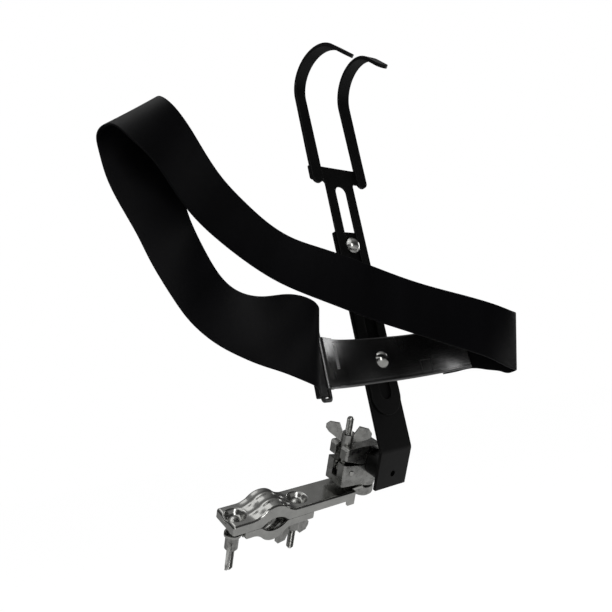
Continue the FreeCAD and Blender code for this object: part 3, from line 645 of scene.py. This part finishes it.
# The tab runs along the pad's back, round the ring's bar and back along the pad's front
def makeTab():
    lift = padShape["thick"] / 2 + tabShape["gap"] + tabShape["thick"] / 2
    short = [leftRuns[0], arcRun(padShape["leftRadius"], padShape["leftTurn"] - tabShape["turn"])]
    flat, turn, _ = walk((0, padMiddle), 180, short, padShape["endSteps"])
    start = flat[-1] + leftOf(turn[-1]) * lift
    runs = [arcRun(padShape["leftRadius"] - lift, tabShape["turn"]), (ringShape["bar"], 0), arcRun(lift, -180)]
    runs += [(ringShape["bar"], 0), arcRun(padShape["leftRadius"] + lift, -tabShape["turn"])]
    path, heading, _ = walk(start, np.degrees(turn[-1]), runs, tabShape["rows"])
    points = bandPoints(path, heading, padShape["boltHeight"], tabShape)
    makeBand("ring_tab_folded", points, onBar, "bar", leather, "ring_tab")


makeRing()
makeTab()
print("pad, ring and tab made")


# ---- webbing

# The webbing runs from its seam behind the pad through the crease and the loop, round the ring, to its tail
webShape = dict(
    width=50.0, thick=1.5, sewnTurn=18.0, lift=3.4, sewnRise=5.0, creaseRun=35.7, creaseRadius=4.0,
    creaseTurn=135.0, creaseDrop=6.0, creaseLean=(0.217, -0.155), ringGap=0.8, edge=0.75, rows=900, across=34,
)
loopSize = np.array([200.0, 70.0, 250.0])  # millimetres for 1 in loopPlaces and tailPlaces
loopPlaces = np.array([
    (0.365, -0.930, 0.312), (0.245, -0.850, 0.352), (0.130, -0.740, 0.392), (0.015, -0.620, 0.436),
    (-0.100, -0.500, 0.484), (-0.205, -0.385, 0.532), (-0.310, -0.260, 0.580), (-0.410, -0.150, 0.628),
    (-0.505, -0.100, 0.684), (-0.600, -0.110, 0.744), (-0.695, -0.160, 0.808), (-0.775, -0.250, 0.876),
    (-0.845, -0.340, 0.940), (-0.910, -0.350, 0.996), (-0.939, -0.214, 1.038), (-0.942, -0.060, 1.035),
    (-0.922, 0.045, 0.997), (-0.905, 0.084, 0.930), (-0.879, 0.058, 0.849), (-0.862, 0.012, 0.780),
    (-0.854, -0.051, 0.710), (-0.847, -0.143, 0.643), (-0.825, -0.216, 0.569), (-0.784, -0.269, 0.492),
    (-0.739, -0.383, 0.435), (-0.688, -0.557, 0.396), (-0.641, -0.770, 0.366), (-0.594, -0.910, 0.333),
    (-0.565, -0.940, 0.312), (-0.530, -0.810, 0.300), (-0.492, -0.650, 0.294),
])
loopWays = np.array([
    (0.36, -0.02, 0.93), (0.41, 0.05, 0.91), (0.45, 0.10, 0.89), (0.48, 0.12, 0.87),
    (0.50, 0.10, 0.86), (0.52, 0.11, 0.85), (0.55, 0.14, 0.83), (0.58, 0.19, 0.79),
    (0.61, 0.20, 0.77), (0.63, 0.17, 0.76), (0.65, 0.15, 0.74), (0.67, 0.15, 0.73),
    (0.69, 0.14, 0.71), (0.72, 0.08, 0.69), (0.78, 0.06, 0.62), (0.86, -0.09, 0.50),
    (0.89, -0.24, 0.39), (0.86, -0.25, 0.45), (0.775, -0.26, 0.61), (0.72, -0.145, 0.72),
    (0.645, -0.055, 0.78), (0.57, 0.00, 0.82), (0.56, 0.10, 0.82), (0.62, 0.24, 0.75),
    (0.61, 0.25, 0.75), (0.56, 0.11, 0.82), (0.39, -0.16, 0.91), (0.21, -0.27, 0.94),
    (0.05, -0.31, 0.95), (0.01, -0.20, 0.98), (0.00, -0.10, 0.99),
])
tailPlaces = np.array([(-0.467, -0.497, 0.293), (-0.502, -0.622, 0.295)])


# A smooth line through points: between neighbours it is a cubic, and its bends agree where cubics meet
def smoothThrough(places, points, wanted):
    count = len(places)
    gaps = np.diff(places)
    inner = np.arange(1, count - 1)
    sums = np.eye(count)
    sums[inner, inner - 1] = gaps[:-1]
    sums[inner, inner] = 2 * (gaps[:-1] + gaps[1:])
    sums[inner, inner + 1] = gaps[1:]
    slopes = np.diff(points, axis=0) / gaps[:, None]
    changes = np.zeros_like(points)
    changes[1:-1] = 6 * np.diff(slopes, axis=0)
    bends = np.linalg.solve(sums, changes)
    piece = np.clip(np.searchsorted(places, wanted, side="right") - 1, 0, count - 2)
    gap = gaps[piece][:, None]
    late = (wanted - places[piece])[:, None] / gap
    early = 1 - late
    straight = early * points[piece] + late * points[piece + 1]
    bow = ((early ** 3 - early) * bends[piece] + (late ** 3 - late) * bends[piece + 1]) * gap ** 2 / 6
    return straight + bow


# Centres and width directions of the webbing, from its sewn end to its tail behind the ring
def webStations():
    height = padShape["boltHeight"]
    upright = np.array([0.0, 0.0, 1.0])
    centre = np.array([padShape["flat"] / 2, padMiddle - padShape["rightRadius"]])
    lift = webShape["lift"]
    sewn = np.radians(90 - padShape["rightTurn"] + webShape["sewnTurn"] * np.array([1.0, 0.5, 0.0]))
    radius = padShape["rightRadius"] + lift
    sewnFlat = centre + radius * aheadOf(sewn)
    centres = [level(sewnFlat, height + webShape["sewnRise"])]
    ways = [np.tile(upright, (3, 1))]
    ahead = np.radians(-padShape["rightTurn"])
    share = np.array([0.35, 0.7, 1.0])
    run = sewnFlat[-1] + np.outer(share, aheadOf(ahead)) * webShape["creaseRun"]
    drop = webShape["creaseDrop"]
    fall = webShape["sewnRise"] - (drop + webShape["sewnRise"]) * share
    centres.append(np.column_stack([run, height + fall]))
    lean = webShape["creaseLean"]
    ways.append(np.stack([lean[0] * share ** 2, lean[1] * share ** 2, 1 + 0 * share], axis=-1))
    share = np.array([0.33, 0.67, 1.0])
    turns = np.radians(webShape["creaseTurn"]) * share
    radius = webShape["creaseRadius"]
    bend = run[-1] - radius * leftOf(ahead) + radius * leftOf(ahead - turns)
    centres.append(np.column_stack([bend, height - drop * (1 - share / 4)]))
    ways.append(np.tile((*lean, 1.0), (3, 1)))
    centres.append(loopPlaces * loopSize)
    ways.append(loopWays)
    place, heading = ringEnd()
    far = place + aheadOf(heading) * (ringShape["bar"] + ringShape["pitch"])
    wrap = ringShape["bar"] / np.sqrt(2) + tabShape["gap"] + webShape["ringGap"]
    wrapTurn = heading + np.pi / 2 + np.radians([0, 60, 120, 180])
    centres.append(level(far + wrap * aheadOf(wrapTurn), height))
    centres.append(tailPlaces * loopSize)
    ways.append(np.tile(upright, (6, 1)))
    return np.vstack(centres), unit(np.vstack(ways))


# The webbing's middle line, width direction, face direction and length so far, at even steps
def webLine(count):
    centres, ways = webStations()
    places = lengthSoFar(centres)
    wanted = np.linspace(0, places[-1], count)
    high = smoothThrough(places, centres + ways * webShape["width"] / 2, wanted)
    low = smoothThrough(places, centres - ways * webShape["width"] / 2, wanted)
    middle = (high + low) / 2
    across = unit(high - low)
    onward = unit(np.gradient(middle, axis=0))
    face = unit(np.cross(onward, across))
    return middle, across, face, wanted


# The ribbon: at each step the section is a flat band with round edges
def makeWebbing():
    middle, across, face, along = webLine(webShape["rows"])
    half = webShape["width"] / 2
    sweep = np.sin(np.linspace(-np.pi / 2, np.pi / 2, webShape["across"]))
    rim = roundedEnd(half - np.abs(sweep) * half, webShape["edge"])
    loopSweep, loopOffset = sectionLoop(sweep, webShape["thick"] / 2 * rim)
    ends = roundedEnd(np.minimum(along, along[-1] - along), webShape["edge"])
    points = middle[:, None, :] + across[:, None, :] * (loopSweep * half)[None, :, None]
    points = points + face[:, None, :] * (loopOffset[None, :] * ends[:, None])[..., None]
    piece = makeBand("webbing_loop", points, onBar, "bar", webbing, "strap", 60)
    lay = np.zeros(points.shape)
    lay[..., 0] = along[:, None] * mm
    lay[..., 1] = (loopSweep * half)[None, :] * mm
    measure = piece.data.attributes.new("lay", "FLOAT_VECTOR", "POINT")
    measure.data.foreach_set("vector", lay.reshape(-1))


makeWebbing()
print("webbing made")


# ---- pressed arm and jaw of the clamp

armShape = dict(
    nose=36.0, end=79.0, halfWidth=13.5, depth=7.4, wall=2.0, rimGap=0.3, hump=7.8, humpHalf=21.0, corner=1.6,
    bend=2.2, cupAt=28.0, cupRadius=8.2, cupFloor=5.0, cupBlend=0.8, cupDeep=4.4,
    ribAt=4.8, ribHigh=0.8, ribWide=2.3, ribHalf=25.0, ribFade=12.0,
    stopLength=8.0, stopDrop=4.5, stopSlope=0.6, tongue=9.0, tongueJoin=0.8, pivotAt=98.0, pivotHole=4.05,
    gripRadius=16.0, gripRise=5.2, gripEdge=5.0, rim=0.45, sharpAngle=62,
    rows=300, columns=96, skirtRows=9, noseRows=(0.05, 0.2, 0.5, 0.9, 1.4), noseDense=0.12, sideDense=1.35,
    stripRows=8, stripColumns=14, eyeRows=64, eyeColumns=7,
)
# The lower jaw is a shorter channel without cups or a stop
jawShape = dict(
    armShape, nose=24.5, end=37.0, halfWidth=12.8, rimGap=0.5, depth=7.0, hump=7.5, humpHalf=18.0, cupDeep=0.0,
    ribAt=4.2, ribHalf=20.0, stopDrop=0.0, tongue=6.5, pivotAt=-28.0, pivotHole=3.2, rows=220,
)


# How far an arc still stands over its centre at a distance beside it
def arcAt(radius, beside):
    return np.sqrt(np.clip(radius ** 2 - beside ** 2, 0, None))


# A rise of two equal arcs each side of the middle, as a height at each place along the channel
def humpRise(x, half, rise):
    radius = (half ** 2 + rise ** 2) / (4 * rise)
    near = np.clip(np.abs(x), 0, half)
    foot = radius - arcAt(radius, half - near)
    top = rise - radius + arcAt(radius, near)
    return np.where(near > half / 2, foot, top)


# The gripping edge: an arch of the tube's radius with rounded corners, as a height above the jaw's rim
def gripEdge(x, shape):
    reach = shape["gripRadius"] + shape["gripEdge"]
    drop = shape["gripRadius"] - shape["gripRise"]
    half = arcAt(reach, drop + shape["gripEdge"])
    meet = shape["gripRadius"] * half / reach
    near = np.clip(np.abs(x), 0, half)
    corner = shape["gripEdge"] - arcAt(shape["gripEdge"], half - near)
    arch = arcAt(shape["gripRadius"], near) - drop
    return np.where(near > meet, corner, arch)


# Distance in from the outline of a plate that has round corners at its nose
def insideBy(x, y, shape):
    fromNose = x + shape["nose"]
    fromSide = shape["halfWidth"] - np.abs(y)
    radius = shape["corner"]
    inCorner = (fromNose < radius) & (fromSide < radius)
    fromArc = radius - np.hypot(radius - fromNose, radius - fromSide)
    return np.where(inCorner, fromArc, np.minimum(fromNose, fromSide))


# From 0 to 1 by 3 times the square less 2 times the cube
def smoothStep(value):
    value = np.clip(value, 0, 1)
    return value * value * (3 - 2 * value)


# Height of the pressed web: flat, humped, dropping into the rounded bend at its outline, with two
# pressed ribs along the hump and a cup round each bolt
def webHeight(x, y, shape):
    inside = np.clip(insideBy(x, y, shape), 0, shape["bend"])
    drop = shape["bend"] - arcAt(shape["bend"], shape["bend"] - inside)
    height = shape["depth"] + humpRise(x, shape["humpHalf"], shape["hump"]) - drop
    ribEnds = smoothStep((shape["ribHalf"] - np.abs(x)) / shape["ribFade"])
    fromRib = (np.abs(y) - shape["ribAt"]) / shape["ribWide"]
    height = height + shape["ribHigh"] * ribEnds * np.exp(-fromRib ** 2)
    fromBolt = np.hypot(np.abs(x) - shape["cupAt"], y)
    cupEdge = shape["cupRadius"] + shape["cupBlend"]
    cup = smoothStep((cupEdge - fromBolt) / (cupEdge - shape["cupFloor"]))
    return height - shape["cupDeep"] * cup


# The sheet is the web, a grid from nose to end that is denser at the nose and the sides, and a skirt that
# hangs from the web's outline down to the gripping edge and the stop
def channelSheet(shape):
    share = np.linspace(0, 1, shape["rows"])
    x = -shape["nose"] + (shape["nose"] + shape["end"]) * (share + shape["noseDense"] * (share ** 2 - share))
    x[1:6] = -shape["nose"] + np.array(shape["noseRows"])
    x = np.sort(x)
    fromNose = x + shape["nose"]
    radius = shape["corner"]
    corner = radius - arcAt(radius, np.clip(radius - fromNose, 0, None))
    reach = shape["halfWidth"] - corner
    sweep = np.linspace(-1, 1, shape["columns"])
    sweep = np.sign(sweep) * (1 - (1 - np.abs(sweep)) ** shape["sideDense"])
    y = reach[:, None] * sweep[None, :]
    grid = np.broadcast_to(x[:, None], y.shape)
    web = np.stack([grid, y, webHeight(grid, y, shape)], axis=-1)
    rows, columns = y.shape
    index = np.arange(rows * columns).reshape(rows, columns)
    rim = np.concatenate([index[::-1, 0], index[0, 1:-1], index[:, -1]])
    edge = web.reshape(-1, 3)[rim]
    pastStop = edge[:, 0] - shape["end"] + shape["stopLength"]
    stop = shape["stopDrop"] * smoothStep(pastStop / shape["stopSlope"]) * (edge[:, 1] < 0)
    bottom = gripEdge(edge[:, 0], shape) - stop + shape["rimGap"]
    steps = np.linspace(0, 1, shape["skirtRows"] + 1)[1:, None]
    heights = edge[:, 2] + (bottom - edge[:, 2]) * steps
    sides = [np.broadcast_to(edge[:, axis], heights.shape) for axis in (0, 1)]
    skirt = np.stack([*sides, heights], axis=-1)
    hung = np.vstack([rim[None, :], np.arange(heights.size).reshape(heights.shape) + index.size])
    quads = np.stack([hung[:-1, :-1], hung[:-1, 1:], hung[1:, 1:], hung[1:, :-1]], axis=-1).reshape(-1, 4)
    points = np.vstack([web.reshape(-1, 3), skirt.reshape(-1, 3)])
    return points, gridFaces(rows, columns) + quads.tolist()


# The tongue: a strip that runs into a round eye
def tongueSheet(shape, start, first):
    reach = shape["tongue"]
    middle = shape["pivotAt"]
    towards = np.sign(middle - start)
    rows, columns = shape["stripRows"], shape["stripColumns"]
    stripX = np.linspace(start, middle - towards * reach * shape["tongueJoin"], rows)
    stripY = np.linspace(-reach, reach, columns)
    heights = np.full((rows, columns), shape["depth"])
    strip = np.stack([*np.meshgrid(stripX, stripY, indexing="ij"), heights], axis=-1)
    angle = around(shape["eyeRows"])
    radii = np.linspace(shape["pivotHole"], reach, shape["eyeColumns"])
    eyeX = middle + np.outer(np.cos(angle), radii)
    eyeY = np.outer(np.sin(angle), radii)
    eye = np.stack([eyeX, eyeY, np.full(eyeX.shape, shape["depth"])], axis=-1)
    points = np.vstack([strip.reshape(-1, 3), eye.reshape(-1, 3)])
    faces = gridFaces(rows, columns, first=first)
    faces += gridFaces(shape["eyeRows"], shape["eyeColumns"], closeRows=True, first=first + rows * columns)
    return points, faces


# One open sheet of web, skirt, tongue and eye, faced outwards, with its wall inwards and its rims rounded.
# turnOver is -1 for a jaw that hangs below
def makeChannel(name, node, shape, turnOver):
    points, faces = channelSheet(shape)
    start = shape["end"] if shape["pivotAt"] > 0 else -shape["nose"] + shape["wall"]
    more, moreFaces = tongueSheet(shape, start, len(points))
    points = np.vstack([points, more]) * (1, 1, turnOver)
    faces = faces + moreFaces
    piece = makePiece(name, onClamp(points), faces, bodyOf[node], chrome, node, outward=False)
    shell = bmesh.new()
    shell.from_mesh(piece.data)
    upward = [face for face in shell.faces if abs(face.normal.dot(clampUp)) > 0.9]
    wrong = sum(face.normal.dot(clampUp) * turnOver for face in upward) < 0
    if wrong:
        bmesh.ops.reverse_faces(shell, faces=shell.faces)
    shell.to_mesh(piece.data)
    shell.free()
    wall = piece.modifiers.new("wall", "SOLIDIFY")
    wall.thickness = shape["wall"] * mm
    wall.offset = -1
    rim = piece.modifiers.new("rim", "BEVEL")
    rim.limit_method = "ANGLE"
    rim.angle_limit = np.radians(shape["sharpAngle"])
    rim.width = shape["rim"] * mm
    rim.segments = 2
    applyModifiers(piece)
    shade(piece.data, shape["sharpAngle"])


makeChannel("clamp_arm_pressed", "clamp_arm", armShape, 1)
makeChannel("clamp_jaw_pressed", "clamp_jaw", jawShape, -1)
print("pressed arm and jaw made")


# ---- turned pieces: bolts and studs

threadShape = dict(pitch=1.0, deep=0.55, around=40, step=0.125, plain=1.0)
boltShape = dict(reach=37.5, radius=3.0, headRadius=5.3, headHigh=3.0, cupFloor=3.0, at=28.0, tip=1.2)
gripStud = dict(pinDrop=5.5, eye=5.5, eyeHalf=2.5, hole=2.25, rootGap=1.0, reach=39.5, radius=3.0, at=72.5,
                height=29.4, tip=1.2, round=0.6, eyeRows=72)
slotBolt = dict(low=73.0, high=175.0, radius=4.0, headRadius=7.2, headHigh=4.5, pastNut=13.6, padFront=6.3,
                plateFront=2.05, tip=0.8)


# A turned piece: each height has a radius, and where it is threaded a groove winds round it once a pitch
def turnedPoints(heights, radii, threaded):
    angle = around(threadShape["around"])
    phase = heights[:, None] / threadShape["pitch"] - angle[None, :] / (2 * np.pi)
    groove = np.abs((phase % 1) * 2 - 1) * threadShape["deep"] * threaded[:, None]
    radius = np.clip(radii[:, None] - groove, 0.01, None)
    tall = np.broadcast_to(heights[:, None], radius.shape)
    return np.stack([radius * np.cos(angle), radius * np.sin(angle), tall], axis=-1)


# A domed head as heights above its seat and radii, from its rim to its top
def domeHead(radius, high, count=14):
    ball = (radius ** 2 + high ** 2) / (2 * high)
    lean = np.linspace(np.arcsin(radius / ball), 0, count)
    return np.cos(lean) * ball - ball + high, np.sin(lean) * ball


# From the narrow tip up the threaded shank to the head's seat at height 0, and over the domed head
def boltProfile(head, radius, length, tip):
    domeHeights, domeRadii = domeHead(*head)
    shank = np.arange(0.0, length - tip, threadShape["step"])
    heights = np.concatenate([[-length], [-length], -shank[::-1], [0.0], [0.0], domeHeights])
    radii = np.concatenate([[0.0], [radius - tip], np.full(len(shank), radius), [radius], [head[0]], domeRadii])
    threaded = np.concatenate([[0, 0], (shank[::-1] > threadShape["plain"]) * 1.0, [0, 0], 0 * domeHeights])
    return turnedPoints(heights, radii, threaded)


# The two studs hang from their heads in the arm's cups
def makeClampBolts():
    head = (boltShape["headRadius"], boltShape["headHigh"])
    length = boltShape["reach"] + boltShape["cupFloor"]
    points = boltProfile(head, boltShape["radius"], length, boltShape["tip"])
    for name, side in (("outer", -1), ("inner", 1)):
        placed = points + (side * boltShape["at"], 0, boltShape["cupFloor"])
        makeBand(name + "_stud", placed, onClamp, "arm", chrome, name + "_bolt", 30)


# The swing bolt is a threaded stud that stands in the rim of a flat eye
def makeGripStud():
    pin = gripStud["height"] - gripStud["pinDrop"]
    top = gripStud["height"] + gripStud["reach"]
    root = pin + gripStud["hole"] + gripStud["rootGap"]
    heights = np.arange(root, top - gripStud["tip"], threadShape["step"])
    heights = np.concatenate([heights[:1], heights, [top, top]])
    radii = np.full(len(heights), gripStud["radius"])
    radii[[0, -1]] = 0
    radii[-2] -= gripStud["tip"]
    threaded = (heights > gripStud["height"] + gripStud["radius"]) * 1.0
    threaded[-2:] = 0
    points = turnedPoints(heights, radii, threaded) + (gripStud["at"], 0, 0)
    makeBand("grip_stud", points, onClamp, "grip", chrome, "grip_bolt", 30)
    half, edge, hole, out = gripStud["eyeHalf"], gripStud["round"], gripStud["hole"], gripStud["eye"]
    ring = np.array([
        (hole, -half), (out - edge, -half), (out, edge - half),
        (out, half - edge), (out - edge, half), (hole, half),
    ])
    angle = around(gripStud["eyeRows"])[:, None]
    eye = np.stack([ring[:, 0] * np.cos(angle), ring[:, 1] + 0 * angle, ring[:, 0] * np.sin(angle)], axis=-1)
    eye = eye + (gripStud["at"], 0, pin)
    faces = gridFaces(*eye.shape[:2], True, True)
    makePiece("grip_eye", onClamp(eye), faces, "grip", chrome, "grip_bolt", 40)


# The slot bolts point backwards, so their heights run along -Y from the head's seat
def makeSlotBolts():
    head = (slotBolt["headRadius"], slotBolt["headHigh"])
    for name, place, front in (("lower", "low", "padFront"), ("upper", "high", "plateFront")):
        height, seatAt = slotBolt[place], slotBolt[front]
        points = boltProfile(head, slotBolt["radius"], slotBolt["pastNut"] + seatAt, slotBolt["tip"])
        turned = np.stack([points[..., 0], -points[..., 2] - seatAt, points[..., 1] + height], axis=-1)
        makeBand(name + "_slot_bolt", turned, onBar, "bar", chrome, name + "_bolt", 30)


makeClampBolts()
makeGripStud()
makeSlotBolts()
print("bolts made")


# ---- rigid nodes with softened edges

# Each node's edge in millimetres
coatedEdges = dict(rear_bar=0.35, hook_plate=0.5, hook_left=0.45, hook_right=0.45, stub_tube=0.35)
castEdges = dict(grip_lower_jaw=1.5, grip_upper_jaw=1.5, pivot_cup=0.8)
pinEdge = 0.5
nutEdge = 0.25

for node, width in coatedEdges.items():
    softened(node, width, powder, 3)
for node, width in castEdges.items():
    softened(node, width, castChrome, 4)
for node in ("grip_wing_nut", "outer_wing_nut", "inner_wing_nut"):
    thinWings(softened(node, wingShape["edge"], castChrome, 3))
softened("grip_pin", pinEdge, chrome, 3)
for node in ("upper_washer", "lower_washer", "upper_nut", "lower_nut"):
    softened(node, nutEdge, zinc, 3)
nodes["pivot_bolt"].data.materials.clear()
nodes["pivot_bolt"].data.materials.append(chrome)
print("rigid nodes finished")


# ---- studio

# Lengths in metres. roomTones are the room's tones by height, from straight down at 0 to straight up at 1
studio = dict(
    floorSize=30.0, floorDrop=0.25, floorTone=0.86, floorSeen=0.92, floorWhite=1.07, floorGlow=0.1,
    roomLight=0.5, roomTones=[
        (0, 0.75), (0.4, 0.8), (0.49, 0.45), (0.53, 0.12), (0.62, 0.07), (0.8, 0.18), (0.9, 0.5), (1, 0.9),
    ],
)
lampTarget = (0.05, -0.03, 0.15)
# Each lamp's place, the place it points at, its width and height, and its power in watts
lamps = {
    "key_soft": ((-0.8, -0.6, 1.3), lampTarget, (1.4, 1.4), 6.5),
    "fill_soft": ((1.5, 0.1, 0.4), lampTarget, (0.8, 0.8), 5),
    "top_soft": ((-0.1, 0.0, 1.6), lampTarget, (1.0, 0.8), 2.5),
    "strip_soft": ((-0.75, -1.9, 0.4), (0.13, -0.05, 0.1), (0.45, 1.2), 8),
}
# The photograph's camera: its place, its right-hand and upward directions, and its lens and sensor
cameraShape = dict(
    place=(-0.2305, -0.3891, 0.0548), right=(0.7948, -0.576, -0.191), up=(0.023, -0.2859, 0.958),
    lens=32.94, sensor=36.0, clipStart=0.01,
)


# A matt pale floor that is nearly white to the camera, and that glows a little on the part
def makeFloor():
    half = studio["floorSize"] / 2
    low = cadBox[0][2] - studio["floorDrop"]
    corners = [(-half, -half, low), (half, -half, low), (half, half, low), (-half, half, low)]
    mesh = bpy.data.meshes.new("floor")
    mesh.from_pydata(corners, [], [(0, 1, 2, 3)])
    finish = Finish("floor_pale", Roughness=0.9, Base_Color=(*grey(studio["floorTone"]), 1))
    seen = finish.node("ShaderNodeLightPath", {}, {}, "Is Camera Ray")
    glow = finish.node("ShaderNodeEmission", {}, {"Color": (1, 1, 1, 1), "Strength": studio["floorWhite"]})
    plain = Value(finish, finish.shader.outputs[0])
    shares = {0: seen * studio["floorSeen"], 1: studio["floorGlow"]}
    share = finish.node("ShaderNodeMath", {"operation": "MAXIMUM"}, shares)
    mixed = finish.node("ShaderNodeMixShader", {}, {0: share, 1: plain, 2: glow})
    finish.tree.links.new(mixed.socket, finish.tree.nodes["Material Output"].inputs["Surface"])
    mesh.materials.append(finish.material)
    newObject("floor", mesh)


# The room is white to the camera. The part sees it bright below, dark above eye level and bright overhead
def makeWorld():
    world = bpy.data.worlds.new("studio")
    bpy.context.scene.world = world
    world.use_nodes = True
    room = Tree(world.node_tree)
    ways = room.node("ShaderNodeTexCoord", {}, {}, "Generated")
    rise = room.node("ShaderNodeSeparateXYZ", {}, {"Vector": ways}, "Z")
    tones = [(place, grey(tone)) for place, tone in studio["roomTones"]]
    tone = room.node("ShaderNodeValToRGB", {"stops": tones}, {"Fac": rise * 0.5 + 0.5})
    lit = room.node("ShaderNodeBackground", {}, {"Color": tone, "Strength": studio["roomLight"]})
    white = room.node("ShaderNodeBackground", {}, {"Color": (1, 1, 1, 1), "Strength": 1.0})
    seen = room.node("ShaderNodeLightPath", {}, {}, "Is Camera Ray")
    mixed = room.node("ShaderNodeMixShader", {}, {0: seen, 1: lit, 2: white})
    room.tree.links.new(mixed.socket, room.tree.nodes["World Output"].inputs["Surface"])


def makeLamp(name, place, target, size, power):
    lamp = bpy.data.lights.new(name, "AREA")
    lamp.shape = "RECTANGLE"
    lamp.size, lamp.size_y = size
    lamp.energy = power
    holder = newObject(name, lamp)
    aim = np.array(target) - np.array(place)
    holder.location = place
    holder.rotation_euler = Vector(aim).to_track_quat("-Z", "Y").to_euler()


def makeCamera():
    right = np.array(cameraShape["right"])
    up = np.array(cameraShape["up"])
    back = np.cross(right, up)
    camera = bpy.data.cameras.new("photo_view")
    camera.lens = cameraShape["lens"]
    camera.sensor_width = cameraShape["sensor"]
    camera.clip_start = cameraShape["clipStart"]
    holder = newObject("photo_view", camera)
    turn = Matrix((right, up, back)).transposed().to_4x4()
    turn.translation = cameraShape["place"]
    holder.matrix_world = turn
    bpy.context.scene.camera = holder


makeFloor()
makeWorld()
for name, (place, target, extent, power) in lamps.items():
    makeLamp(name, place, target, extent, power)
makeCamera()
bpy.context.scene.view_settings.view_transform = "Standard"
print("studio made")
